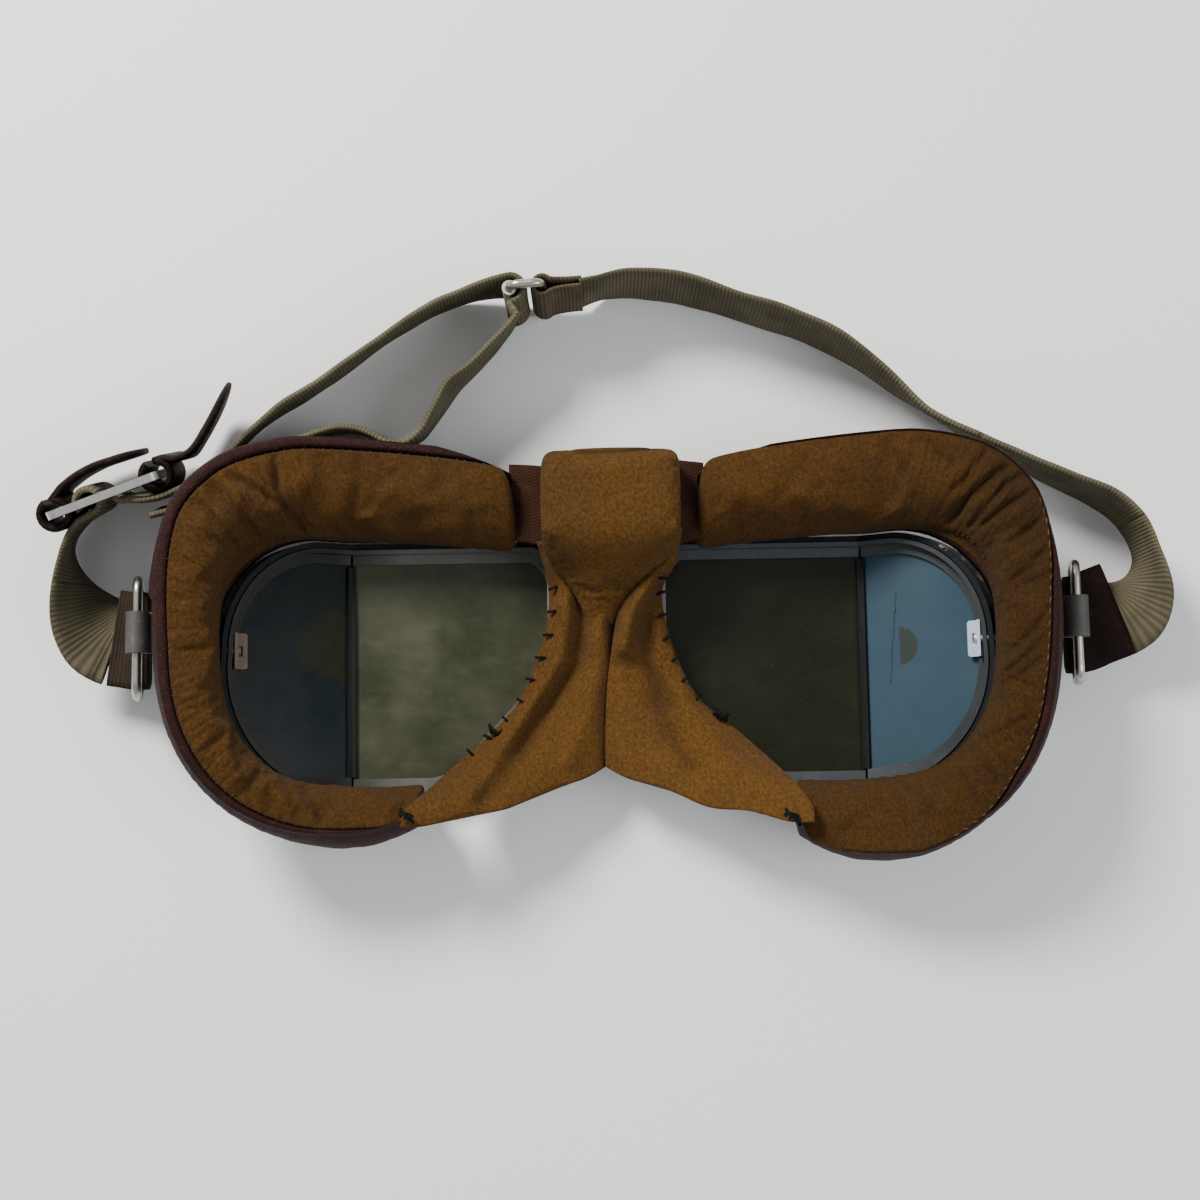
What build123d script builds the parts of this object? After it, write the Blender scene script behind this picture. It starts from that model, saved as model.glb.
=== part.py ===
from build123d import *
import os
from math import atan2, cos, degrees, hypot, radians, sin, tan

# Aviator flying goggles, lying lens side down on a table.
# +X runs along the wearer's brow, +Y to the brow, +Z to the face.
# Shapes are made about the hinge line, and then moved so that the origin is under the middle.
# One half is made on the +X side, and the other half is its mirror image.

# From the hinge line to the middle of the whole, straps included
ORIGIN_SHIFT_X = 0.5
ORIGIN_SHIFT_Y = 2.1

# Lenses and sight openings
DIVIDER_X = 60.3
NASAL_X = 13.4
SIGHT_DROP = 1.0
SIGHT_HEIGHT = 49.4
SIDE_PANE_WIDTH = 29.3
SIDE_PANE_ANGLE = 34.0
GLASS = 2.0
GLASS_PLAY = 0.1
DIVIDER_HALF_WIDTH = 0.8
DIVIDER_WEB = 0.7
DIVIDER_TRIM = 0.4
# Share of the sight opening's width from the nose, share of its height from the top
NASAL_SHARES = ((0.085, 0.0), (0.02, 0.07), (0.0, 0.165), (0.04, 0.45), (0.165, 0.66),
                (0.40, 0.895), (0.485, 0.97), (0.60, 1.0))
SIDE_SHARES = ((0.36, 0.0), (0.80, 0.125), (1.0, 0.43), (0.885, 0.76), (0.50, 0.955))

# Pressed frame and the bezel that holds the glass
RAIL_WIDTH = 3.2
FRAME_METAL = 1.0
FRAME_WALL_HEIGHT = 2.4
BEZEL_LIP = 1.2
BEZEL_WALL = 1.2
BEZEL_GAP = 0.2
BEZEL_SHORT = 0.4
NOTCH = 0.5
MITRE_OVERRUN = 14.0
CUT_OVERRUN = 1.0

# Hinge at the bridge
HINGE_TOP_Y = -2.5
KNUCKLE_LENGTH = 3.2
KNUCKLE_COUNT = 5
KNUCKLE_GAP = 0.15
PIN_RADIUS = 1.0
PIN_PLAY = 0.1
PIN_HEAD_RADIUS = 1.7
PIN_HEAD = 0.8
LEAF_METAL = 1.1
LEAF_REACH = 13.6
LEAF_CLEAR = 0.5
LUG_REACH = 15.5
RIVET_RADIUS = 0.8
RIVET_HEAD_RADIUS = 1.5
RIVET_HEAD = 0.8
RIVET_PLAY = 0.1
LEAF_RIVET_X = 12.0

# Temple clip and its screw
CLIP_Y = -21.8
CLIP_WIDTH = 8.0
CLIP_METAL = 0.8
CLIP_OVERLAP = 1.9
CLIP_SET_BACK = 0.45
SCREW_RADIUS = 0.7
SCREW_HEAD_RADIUS = 1.15
SCREW_HEAD = 0.7
SCREW_SLOT = 0.3

# Strap bracket on the temple and the wire ring in it
BRACKET_Y = -17.2
BRACKET_WIDTH = 9.2
BRACKET_METAL = 1.2
BRACKET_FOOT = 5.0
BRACKET_RIVET_SPACING = 5.0
EYE_X = 104.5
EYE_Z = 20.5
WIRE_RADIUS = 1.1
WIRE_PLAY = 0.3
RING_CENTRE_Y = -18.2
RING_LENGTH = 25.8
RING_REACH = 11.5
RING_FALL_ANGLE = 78.0
RING_CORNER = 3.0

# Cushions: heights above the pane, the leather roll, and stations from the brow round to the nose
PAD_HALF_WIDTH = 96.6
PAD_TOP_Y = 24.2
PAD_HEIGHT = 89.2
PAD_EDGE_Z = 14.0
PAD_TEMPLE_EDGE_Z = 10.4
PAD_SEAM_Z = 24.5
PAD_TEMPLE_CLIMB = 12.0
PAD_CROWN = 4.2
RIGHT_SAG = 2.4
LEFT_SAG = -2.0
LEATHER = 1.5
SUEDE = 1.5
SOFT_GAP = 0.25
SKIRT_LOW_Z = 4.6
# inner x, inner y, seam x, seam y, foot along the section, climb, crown and leather roll shares
PAD_SHARES = (
    (0.2020, 0.2750, 0.2190, 0.0600, 0.234, 0.000, 0.850, 0.200),
    (0.3310, 0.2560, 0.3370, 0.0340, 0.140, 0.060, 1.000, 0.200),
    (0.5070, 0.2390, 0.5150, 0.0110, 0.060, 0.140, 1.050, 0.200),
    (0.6420, 0.2300, 0.6780, 0.0010, 0.023, 0.300, 1.050, 0.220),
    (0.7014, 0.2292, 0.7550, 0.0097, 0.015, 0.417, 0.995, 0.254),
    (0.7509, 0.2345, 0.8214, 0.0299, -0.028, 0.543, 0.930, 0.292),
    (0.7869, 0.2441, 0.8703, 0.0549, -0.076, 0.656, 0.882, 0.323),
    (0.8180, 0.2629, 0.9142, 0.0929, -0.105, 0.760, 0.825, 0.351),
    (0.8399, 0.2850, 0.9464, 0.1326, -0.116, 0.836, 0.770, 0.372),
    (0.8570, 0.3130, 0.9720, 0.1820, -0.102, 0.900, 0.720, 0.390),
    (0.8690, 0.3587, 0.9907, 0.2625, -0.033, 0.961, 0.673, 0.408),
    (0.8750, 0.4080, 1.0000, 0.3500, 0.052, 1.000, 0.640, 0.420),
    (0.8781, 0.4612, 1.0021, 0.4499, 0.127, 1.008, 0.624, 0.421),
    (0.8775, 0.5220, 0.9985, 0.5528, 0.175, 0.993, 0.617, 0.421),
    (0.8730, 0.5830, 0.9900, 0.6400, 0.218, 0.960, 0.620, 0.420),
    (0.8648, 0.6394, 0.9728, 0.7196, 0.226, 0.910, 0.642, 0.410),
    (0.8482, 0.6955, 0.9436, 0.7956, 0.228, 0.827, 0.668, 0.393),
    (0.8264, 0.7413, 0.9086, 0.8549, 0.234, 0.726, 0.689, 0.373),
    (0.7977, 0.7811, 0.8660, 0.9044, 0.247, 0.614, 0.706, 0.352),
    (0.7622, 0.8146, 0.8156, 0.9437, 0.266, 0.490, 0.716, 0.331),
    (0.7082, 0.8405, 0.7491, 0.9760, 0.268, 0.355, 0.722, 0.313),
    (0.6310, 0.8530, 0.6630, 0.9940, 0.284, 0.220, 0.720, 0.300),
    (0.5070, 0.8580, 0.5200, 0.9900, 0.324, 0.100, 0.700, 0.280),
    (0.4250, 0.8530, 0.4360, 0.9640, 0.450, 0.040, 0.660, 0.260))

# Nose flaps: seam y, seam z, lace x, lace y, lace z as shares of the flap's sizes
FLAP_LEATHER = 1.6
FLAP_SEAM_GAP = 0.4
FLAP_BULGE = 1.4
FLAP_WIDTH = 40.0
FLAP_HEIGHT = 60.0
FLAP_HIGH = 25.0
FLAP_SHARES = (
    (0.030, 0.80, 0.425, 0.020, 0.62),
    (0.150, 0.60, 0.315, 0.150, 0.48),
    (0.290, 0.54, 0.340, 0.290, 0.46),
    (0.420, 0.51, 0.395, 0.425, 0.40),
    (0.535, 0.50, 0.510, 0.560, 0.385),
    (0.635, 0.49, 0.675, 0.670, 0.395),
    (0.720, 0.49, 0.850, 0.785, 0.45),
    (0.780, 0.49, 0.985, 0.868, 0.58),
    (0.822, 0.50, 1.000, 1.010, 1.00))

# Brow pad, the leather under it and the tapes at its sides
BROW_SHIFT = 2.1
BROW_WIDTH = 30.0
BROW_TOP_Y = 20.2
BROW_HEIGHT = 21.4
BROW_LOW_Z = 18.0
BROW_THICKNESS = 12.0
BROW_CORNER = 4.5
BROW_ROUND = 3.0
TAPE_INNER_X = 11.0
BRIDGE_END_GAP = 0.35
BRIDGE_TOP_Y = 18.6
BRIDGE_LOW_Y = 0.4
BRIDGE_LOW_Z = 14.0

# Webbing and the leather ends
WEBBING_WIDTH = 22.0
WEBBING = 2.0
WEBBING_SPAN_GAP = 0.3
WEBBING_HEM = 1.6
LEVEL = 4.0
RIGHT_HEM_SKEW = 20.0
LEFT_HEM_SKEW = 8.0
LEFT_HEM_REACH = 1.7
HEM_GAP = 0.4
BAR_PLAY = 0.35
END_REACH = 6.8
TOP_HEM_REACH = 5.0
TAB_LEATHER = 3.0
TAB_WIDTH = 20.0
# Routes: x as a share of the strap's half span, y of its rise, mid height of the width, lean of upright
STRAP_HALF_SPAN = 124.0
STRAP_RISE = 63.0
STRAP_LEFT_SHARES = (
    (-0.9242, -0.257, 0.423, 0.222),
    (-0.9452, -0.211, 0.428, 0.467),
    (-0.9629, -0.149, 0.468, 0.689),
    (-0.9774, -0.079, 0.505, 0.889),
    (-0.9871, -0.013, 0.507, 1.033),
    (-0.9903, 0.044, 0.505, 1.122),
    (-0.9863, 0.089, 0.502, 1.150),
    (-0.9742, 0.124, 0.528, 1.150),
    (-0.9589, 0.151, 0.573, 1.150))
LOOP_OUT_SHARES = (
    (-0.8419, 0.230, 0.605, 1.150),
    (-0.8097, 0.240, 0.582, 1.150),
    (-0.7742, 0.270, 0.546, 1.150),
    (-0.7387, 0.311, 0.502, 1.150),
    (-0.7048, 0.362, 0.502, 1.148),
    (-0.6790, 0.413, 0.502, 1.144),
    (-0.6548, 0.463, 0.503, 1.138),
    (-0.6274, 0.511, 0.504, 1.133),
    (-0.5935, 0.560, 0.505, 1.119),
    (-0.5565, 0.603, 0.505, 1.109),
    (-0.5177, 0.651, 0.505, 1.113),
    (-0.4710, 0.714, 0.505, 1.121),
    (-0.4339, 0.768, 0.505, 1.122),
    (-0.3960, 0.821, 0.504, 1.124),
    (-0.3589, 0.868, 0.505, 1.120),
    (-0.3323, 0.900, 0.505, 1.114),
    (-0.3040, 0.929, 0.506, 1.103),
    (-0.2685, 0.954, 0.506, 1.100),
    (-0.2379, 0.971, 0.546, 1.089),
    (-0.2073, 0.983, 0.582, 1.067),
    (-0.1823, 0.987, 0.605, 1.033))
LOOP_BACK_SHARES = (
    (-0.1621, 0.860, 0.591, 0.911),
    (-0.1919, 0.794, 0.546, 0.920),
    (-0.2185, 0.741, 0.507, 0.922),
    (-0.2460, 0.686, 0.507, 0.933),
    (-0.2726, 0.638, 0.507, 0.956),
    (-0.2911, 0.594, 0.507, 0.967),
    (-0.3073, 0.541, 0.507, 0.956),
    (-0.3242, 0.489, 0.507, 0.937),
    (-0.3395, 0.449, 0.507, 0.918),
    (-0.3645, 0.417, 0.506, 0.896),
    (-0.3903, 0.414, 0.507, 0.911),
    (-0.4169, 0.440, 0.507, 0.928),
    (-0.4452, 0.463, 0.507, 0.920),
    (-0.4798, 0.473, 0.506, 0.900),
    (-0.5145, 0.465, 0.505, 0.881),
    (-0.5500, 0.448, 0.504, 0.871),
    (-0.6081, 0.413, 0.503, 0.860),
    (-0.6694, 0.349, 0.502, 0.853),
    (-0.7242, 0.279, 0.502, 0.850),
    (-0.7710, 0.210, 0.502, 0.850),
    (-0.8242, 0.175, 0.564, 0.850))
STRAP_RIGHT_SHARES = (
    (-0.0081, 0.978, 0.546, 1.017),
    (0.0129, 0.992, 0.505, 1.006),
    (0.0403, 1.000, 0.506, 0.989),
    (0.0742, 0.998, 0.506, 0.978),
    (0.1363, 0.984, 0.507, 0.969),
    (0.1919, 0.952, 0.506, 0.984),
    (0.2637, 0.903, 0.505, 0.993),
    (0.3355, 0.856, 0.506, 0.991),
    (0.3935, 0.808, 0.505, 1.000),
    (0.4403, 0.757, 0.506, 1.016),
    (0.4815, 0.702, 0.507, 1.036),
    (0.5185, 0.643, 0.507, 1.067),
    (0.5492, 0.590, 0.506, 1.102),
    (0.5774, 0.543, 0.503, 1.136),
    (0.6056, 0.502, 0.500, 1.162),
    (0.6484, 0.449, 0.502, 1.147),
    (0.6895, 0.403, 0.505, 1.117),
    (0.7339, 0.354, 0.507, 1.089),
    (0.7798, 0.306, 0.507, 1.071),
    (0.8250, 0.260, 0.507, 1.047),
    (0.8702, 0.219, 0.506, 1.018),
    (0.9113, 0.181, 0.505, 1.004),
    (0.9452, 0.137, 0.505, 1.007),
    (0.9702, 0.083, 0.506, 1.016),
    (0.9871, 0.019, 0.507, 1.029),
    (0.9952, -0.048, 0.506, 1.011),
    (0.9927, -0.108, 0.507, 0.911),
    (0.9839, -0.156, 0.480, 0.733),
    (0.9702, -0.194, 0.437, 0.511),
    (0.9540, -0.221, 0.423, 0.267))
# Pull tabs: x as a share of the strap's half span, y of its rise
TAB_OUTER_SHARES = ((-0.9911, 0.270), (-0.9637, 0.313), (-0.9290, 0.349), (-0.8952, 0.371),
                    (-0.8629, 0.390), (-0.8435, 0.400))
TAB_INNER_SHARES = ((-0.7984, 0.376), (-0.7774, 0.375), (-0.7565, 0.395), (-0.7371, 0.454),
                    (-0.7169, 0.527), (-0.7016, 0.590), (-0.6903, 0.641))

# Buckle with four bars, on its edge and leaning towards the goggles
BUCKLE_X = -112.3
BUCKLE_Y = 15.6
BUCKLE_TURN = 20.3
BUCKLE_LEAN = 13.5
BUCKLE_LENGTH = 26.4
BUCKLE_BAR = 2.2
BUCKLE_RAIL = 2.0
BUCKLE_METAL = 1.8
BUCKLE_CORNER = 2.0
BUCKLE_BARS = 4

# Adjuster: an upright wire loop with a rolled plate on one bar, and the strap's turn round it
LOOP_TURNS = 5
LOOP_STEP = 35.0
ADJUSTER_X = -17.0
ADJUSTER_Y = 59.3
ADJUSTER_TURN = 4.0
ADJUSTER_PITCH = 7.4
ADJUSTER_WIRE = 1.0
ADJUSTER_CORNER = 2.2
ROLLER_METAL = 0.6

# Levels above the outer face of a pane
LEDGE_LOW = BEZEL_LIP + GLASS + 2 * GLASS_PLAY
LEDGE_HIGH = LEDGE_LOW + FRAME_METAL
WALL_HIGH = LEDGE_HIGH + FRAME_WALL_HEIGHT
BEZEL_HIGH = WALL_HIGH - BEZEL_SHORT
BEZEL_REACH = RAIL_WIDTH + BEZEL_GAP + BEZEL_WALL
HINGE_Z = WALL_HIGH + LEAF_METAL - (PIN_RADIUS + PIN_PLAY + LEAF_METAL)
BARREL_RADIUS = PIN_RADIUS + PIN_PLAY + LEAF_METAL
HALF_BEND = radians(SIDE_PANE_ANGLE / 2)
MITRE = Plane(origin=(DIVIDER_X, 0, 0), z_dir=(cos(HALF_BEND), 0, sin(HALF_BEND)))
SIDE = Pos(DIVIDER_X, 0, 0) * Rot(0, -SIDE_PANE_ANGLE, 0)

# Straps: the buckle's place, its bars and the stations beside them
UPRIGHT = 90.0
WINDOW_HEIGHT = WEBBING_WIDTH + 2 * WEBBING_SPAN_GAP
BUCKLE_HEIGHT = WINDOW_HEIGHT + 2 * BUCKLE_RAIL
RAISED = BUCKLE_HEIGHT / 2
BUCKLE = Pos(BUCKLE_X, BUCKLE_Y, RAISED) * Rot(0, 0, BUCKLE_TURN) * Rot(BUCKLE_LEAN, 0, 0)
BUCKLE_PITCH = (BUCKLE_LENGTH - BUCKLE_BAR) / (BUCKLE_BARS - 1)
BAR_RADIUS = hypot(BUCKLE_BAR, BUCKLE_METAL) / 2
HEM_STEP = BAR_RADIUS + BAR_PLAY + WEBBING / 2
TAB_STEP = BAR_RADIUS + BAR_PLAY + TAB_LEATHER / 2
ADJUSTER_BAR = ADJUSTER_WIRE + PIN_PLAY + ROLLER_METAL


def front_sight():
    """Sight opening of the front pane, run on past the bend."""
    width = DIVIDER_X - NASAL_X
    run = DIVIDER_X + MITRE_OVERRUN
    top, bottom = -SIGHT_DROP, -SIGHT_DROP - SIGHT_HEIGHT
    p = [(NASAL_X + sx * width, -SIGHT_DROP - sy * SIGHT_HEIGHT) for sx, sy in NASAL_SHARES]
    return make_face([
        Line((run, top), p[0]), ThreePointArc(p[0], p[1], p[2]), ThreePointArc(p[2], p[3], p[4]),
        Line(p[4], p[5]), ThreePointArc(p[5], p[6], p[7]), Line(p[7], (run, bottom)),
        Line((run, bottom), (run, top))])


def side_sight():
    """Sight opening of the side pane, flat, measured from the bend line and run on past it."""
    run = -MITRE_OVERRUN
    top, bottom = -SIGHT_DROP, -SIGHT_DROP - SIGHT_HEIGHT
    p = [(sx * SIDE_PANE_WIDTH, -SIGHT_DROP - sy * SIGHT_HEIGHT) for sx, sy in SIDE_SHARES]
    return make_face([
        Line((run, top), p[0]), ThreePointArc(p[0], p[1], p[2]), ThreePointArc(p[2], p[3], p[4]),
        Line(p[4], (0, bottom)), Line((0, bottom), (run, bottom)), Line((run, bottom), (run, top))])


def bent(front, side):
    """Joins a front part and a side part at the mitre of the bend."""
    return split(front, MITRE, keep=Keep.BOTTOM) + split(SIDE * side, MITRE, keep=Keep.TOP)


def band(sight, outer, inner, low, high):
    """Band round a sight opening between two offsets and two levels."""
    inside = offset(sight, inner) if inner else sight
    return Pos(0, 0, low) * extrude(offset(sight, outer) - inside, high - low)


def bar_across(half_width, low, high, length):
    """Strip along the bend, measured from the mitre at its upper level."""
    middle = -SIGHT_DROP - SIGHT_HEIGHT / 2
    side = half_width + high * tan(HALF_BEND)
    reach = side + MITRE_OVERRUN
    box = Box(reach, length, high - low, align=(Align.MIN, Align.CENTER, Align.MIN))
    return bent(Pos(DIVIDER_X - side, middle, low) * box, Pos(side - reach, middle, low) * box)


def rivet_places(count, x, y, pitch):
    """Places in a row along Y, centred on y."""
    return [(x, y + (i - (count - 1) / 2) * pitch) for i in range(count)]


LEAF_LENGTH = KNUCKLE_COUNT * KNUCKLE_LENGTH
LEAF_MIDDLE_Y = HINGE_TOP_Y - LEAF_LENGTH / 2
LEAF_RIVETS = rivet_places(2, LEAF_RIVET_X, LEAF_MIDDLE_Y, LEAF_LENGTH / 2)
CLIP_WALL_X = SIDE_PANE_WIDTH + RAIL_WIDTH - FRAME_METAL - CLIP_SET_BACK
SCREW_W = LEDGE_HIGH + SCREW_HEAD_RADIUS
BRACKET_RIVET_X = SIDE_PANE_WIDTH + RAIL_WIDTH / 2
BRACKET_RIVETS = rivet_places(2, BRACKET_RIVET_X, BRACKET_Y, BRACKET_RIVET_SPACING)


def screw_hole():
    """Hole for the clip's screw, along the pane, in the side pane's own frame."""
    length = BEZEL_REACH + CUT_OVERRUN
    hole = Cylinder(SCREW_RADIUS + RIVET_PLAY, length, align=(Align.CENTER, Align.CENTER, Align.MIN))
    return Pos(SIDE_PANE_WIDTH, CLIP_Y, SCREW_W) * Rot(0, 90, 0) * hole


def frame():
    """Pressed rim: a ledge over the glass and a wall round it, with the hinge's lug."""
    parts = []
    for sight in (front_sight(), side_sight()):
        ledge = band(sight, RAIL_WIDTH, 0, LEDGE_LOW, LEDGE_HIGH)
        wall = band(sight, RAIL_WIDTH, RAIL_WIDTH - FRAME_METAL, LEDGE_LOW, WALL_HIGH)
        parts.append(ledge + wall)
    rim = bent(parts[0], parts[1] - screw_hole())
    outline = offset(front_sight(), RAIL_WIDTH)
    lug = Box(LUG_REACH, LEAF_LENGTH, WALL_HIGH - LEDGE_LOW, align=(Align.MIN, Align.CENTER, Align.MIN))
    lug = Pos(0, LEAF_MIDDLE_Y, LEDGE_LOW) * lug
    lug = lug & (Pos(0, 0, LEDGE_LOW) * extrude(outline - front_sight(), WALL_HIGH))
    rim = rim + lug
    for x, y in LEAF_RIVETS:
        hole = Cylinder(RIVET_RADIUS + RIVET_PLAY, WALL_HIGH, align=(Align.CENTER, Align.CENTER, Align.MIN))
        rim = rim - Pos(x, y, LEDGE_LOW) * hole
    depth = RAIL_WIDTH - FRAME_METAL + CUT_OVERRUN
    for y in (-SIGHT_DROP - CUT_OVERRUN + depth / 2, -SIGHT_DROP - SIGHT_HEIGHT + CUT_OVERRUN - depth / 2):
        notch = Box(NOTCH, depth, WALL_HIGH, align=(Align.CENTER, Align.CENTER, Align.MIN))
        rim = rim - Pos(DIVIDER_X, y, 0) * Rot(0, -SIDE_PANE_ANGLE / 2, 0) * Pos(0, 0, LEDGE_LOW) * notch
    return rim


def bezel():
    """Front rim that holds the glass from outside, with a bar across the bend."""
    parts = []
    for sight in (front_sight(), side_sight()):
        lip = band(sight, BEZEL_REACH, 0, 0, BEZEL_LIP)
        wall = band(sight, BEZEL_REACH, RAIL_WIDTH + BEZEL_GAP, 0, BEZEL_HIGH)
        parts.append(lip + wall)
    side = parts[1] - screw_hole()
    for x, y in BRACKET_RIVETS:
        side = side - Pos(x, y, 0) * Cylinder(RIVET_RADIUS + RIVET_PLAY, 2 * BEZEL_LIP + CUT_OVERRUN)
    return bent(parts[0], side) + bar_across(DIVIDER_HALF_WIDTH, 0, BEZEL_LIP, SIGHT_HEIGHT + RAIL_WIDTH)


def lens(sight, side):
    """Flat glass, cut back from the bend by half the divider's web."""
    pane = offset(sight, RAIL_WIDTH - BEZEL_GAP)
    pane = Pos(0, 0, BEZEL_LIP + GLASS_PLAY) * extrude(pane, GLASS)
    shift = (DIVIDER_WEB / 2 + GLASS_PLAY) * (1 if side else -1)
    cut = MITRE.offset(shift)
    if side:
        return split(SIDE * pane, cut, keep=Keep.TOP)
    return split(pane, cut, keep=Keep.BOTTOM)


def divider():
    """Bent strip over the two glass edges, with a web between them."""
    length = SIGHT_HEIGHT - 2 * DIVIDER_TRIM
    strip = bar_across(DIVIDER_HALF_WIDTH, LEDGE_LOW, LEDGE_HIGH, length)
    height = LEDGE_HIGH - BEZEL_LIP - 2 * GLASS_PLAY
    web = Box(DIVIDER_WEB, length, height, align=(Align.CENTER, Align.CENTER, Align.MIN))
    place = Pos(DIVIDER_X, -SIGHT_DROP - SIGHT_HEIGHT / 2, 0) * Rot(0, -SIDE_PANE_ANGLE / 2, 0)
    return strip + place * Pos(0, 0, BEZEL_LIP + 2 * GLASS_PLAY) * web


def hinge_leaf(first):
    """Leaf riveted on the lug, rolled round the pin at every second knuckle."""
    plate = Box(LEAF_REACH - BARREL_RADIUS - LEAF_CLEAR, LEAF_LENGTH, LEAF_METAL,
                align=(Align.MIN, Align.CENTER, Align.MIN))
    leaf = Pos(BARREL_RADIUS + LEAF_CLEAR, LEAF_MIDDLE_Y, WALL_HIGH) * plate
    length = KNUCKLE_LENGTH - 2 * KNUCKLE_GAP
    for i in range(first, KNUCKLE_COUNT, 2):
        y = HINGE_TOP_Y - (i + 1 / 2) * KNUCKLE_LENGTH
        tongue = Box(BARREL_RADIUS + LEAF_CLEAR + LEAF_METAL, length, LEAF_METAL,
                     align=(Align.MIN, Align.CENTER, Align.MIN))
        leaf = leaf + Pos(0, y, WALL_HIGH) * tongue
        leaf = leaf + Pos(0, y, HINGE_Z) * Rot(90, 0, 0) * Cylinder(BARREL_RADIUS, length)
    bore = Rot(90, 0, 0) * Cylinder(PIN_RADIUS + PIN_PLAY, LEAF_LENGTH + CUT_OVERRUN)
    leaf = leaf - Pos(0, LEAF_MIDDLE_Y, HINGE_Z) * bore
    for x, y in LEAF_RIVETS:
        leaf = leaf - Pos(x, y, WALL_HIGH) * Cylinder(RIVET_RADIUS + RIVET_PLAY, 2 * LEAF_METAL + CUT_OVERRUN)
    return leaf


def hinge_pin():
    """Pin through the five knuckles, with a head at each end."""
    length = LEAF_LENGTH + 2 * KNUCKLE_GAP
    pin = Cylinder(PIN_RADIUS, length)
    for end in (-1, 1):
        pin = pin + Pos(0, 0, end * (length + PIN_HEAD) / 2) * Cylinder(PIN_HEAD_RADIUS, PIN_HEAD)
    return Pos(0, LEAF_MIDDLE_Y, HINGE_Z) * Rot(90, 0, 0) * pin


def rivet(shank):
    """Rivet pointing down from its head, with its seat at the local origin."""
    head = Pos(0, 0, RIVET_HEAD / 2) * Cylinder(RIVET_HEAD_RADIUS, RIVET_HEAD)
    head = fillet(head.edges().group_by(Axis.Z)[-1], RIVET_HEAD / 2)
    return head + Pos(0, 0, -shank / 2) * Cylinder(RIVET_RADIUS, shank)


def leaf_rivets():
    shank = LEAF_METAL + WALL_HIGH - LEDGE_LOW
    return [Pos(x, y, WALL_HIGH + LEAF_METAL) * rivet(shank) for x, y in LEAF_RIVETS]


def bracket_rivets():
    shank = BRACKET_METAL + BEZEL_LIP
    turned = Rot(180, 0, 0) * rivet(shank)
    return [SIDE * Pos(x, y, -BRACKET_METAL) * turned for x, y in BRACKET_RIVETS]


def temple_clip():
    """Angle on the ledge whose turned-down edge presses on the side pane."""
    inner = SIDE_PANE_WIDTH - CLIP_OVERLAP
    lip_low = BEZEL_LIP + GLASS_PLAY + GLASS + GLASS_PLAY
    profile = [(inner, lip_low), (inner + CLIP_METAL, lip_low), (inner + CLIP_METAL, LEDGE_HIGH),
               (CLIP_WALL_X, LEDGE_HIGH), (CLIP_WALL_X, WALL_HIGH), (CLIP_WALL_X - CLIP_METAL, WALL_HIGH),
               (CLIP_WALL_X - CLIP_METAL, LEDGE_HIGH + CLIP_METAL), (inner, LEDGE_HIGH + CLIP_METAL)]
    face = Plane.XZ * make_face(Polyline(*profile, close=True))
    clip = Pos(0, CLIP_Y + CLIP_WIDTH / 2, 0) * extrude(face, CLIP_WIDTH)
    corners = clip.edges().filter_by(Axis.Z).group_by(Axis.X)[0]
    clip = fillet(corners, CLIP_METAL - GLASS_PLAY)
    seat = Cylinder(SCREW_HEAD_RADIUS + RIVET_PLAY, SCREW_HEAD + CUT_OVERRUN)
    seat_x = CLIP_WALL_X - CLIP_METAL - (SCREW_HEAD + CUT_OVERRUN) / 2
    seat = Pos(seat_x, CLIP_Y, SCREW_W) * Rot(0, 90, 0) * seat
    return SIDE * (clip - screw_hole() - seat)


def clip_screw():
    """Small slotted screw through the clip, the frame's wall and the bezel's wall."""
    length = CLIP_METAL + CLIP_SET_BACK + FRAME_METAL + BEZEL_GAP + BEZEL_WALL
    head = Pos(0, 0, -SCREW_HEAD / 2) * Cylinder(SCREW_HEAD_RADIUS, SCREW_HEAD)
    slot = Box(SCREW_SLOT, 2 * SCREW_HEAD_RADIUS + CUT_OVERRUN, SCREW_HEAD)
    screw = head - Pos(0, 0, -SCREW_HEAD) * slot + Pos(0, 0, length / 2) * Cylinder(SCREW_RADIUS, length)
    return SIDE * Pos(CLIP_WALL_X - CLIP_METAL, CLIP_Y, SCREW_W) * Rot(0, 90, 0) * screw


def ring_bracket():
    """Plate riveted under the bezel's temple end, rolled into an eye for the ring."""
    eye_radius = WIRE_RADIUS + WIRE_PLAY + BRACKET_METAL
    foot_end = SIDE_PANE_WIDTH + BEZEL_REACH + BRACKET_METAL / 2
    foot = Box(BRACKET_FOOT, BRACKET_WIDTH, BRACKET_METAL, align=(Align.MAX, Align.CENTER, Align.MAX))
    foot = SIDE * Pos(foot_end, BRACKET_Y, 0) * foot
    hole = Cylinder(RIVET_RADIUS + RIVET_PLAY, 2 * BRACKET_METAL + CUT_OVERRUN)
    for x, y in BRACKET_RIVETS:
        foot = foot - SIDE * Pos(x, y, 0) * hole
    low = EYE_Z - eye_radius
    bend = radians(SIDE_PANE_ANGLE)
    start = DIVIDER_X + foot_end * cos(bend)
    arm = Box(EYE_X - start, BRACKET_WIDTH, BRACKET_METAL, align=(Align.MIN, Align.CENTER, Align.MIN))
    eye = Pos(EYE_X, BRACKET_Y, EYE_Z) * Rot(90, 0, 0) * Cylinder(eye_radius, BRACKET_WIDTH)
    bore = Pos(EYE_X, BRACKET_Y, EYE_Z) * Rot(90, 0, 0) * Cylinder(
        WIRE_RADIUS + WIRE_PLAY, BRACKET_WIDTH + CUT_OVERRUN)
    return foot + Pos(start, BRACKET_Y, low) * arm + eye - bore


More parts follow.
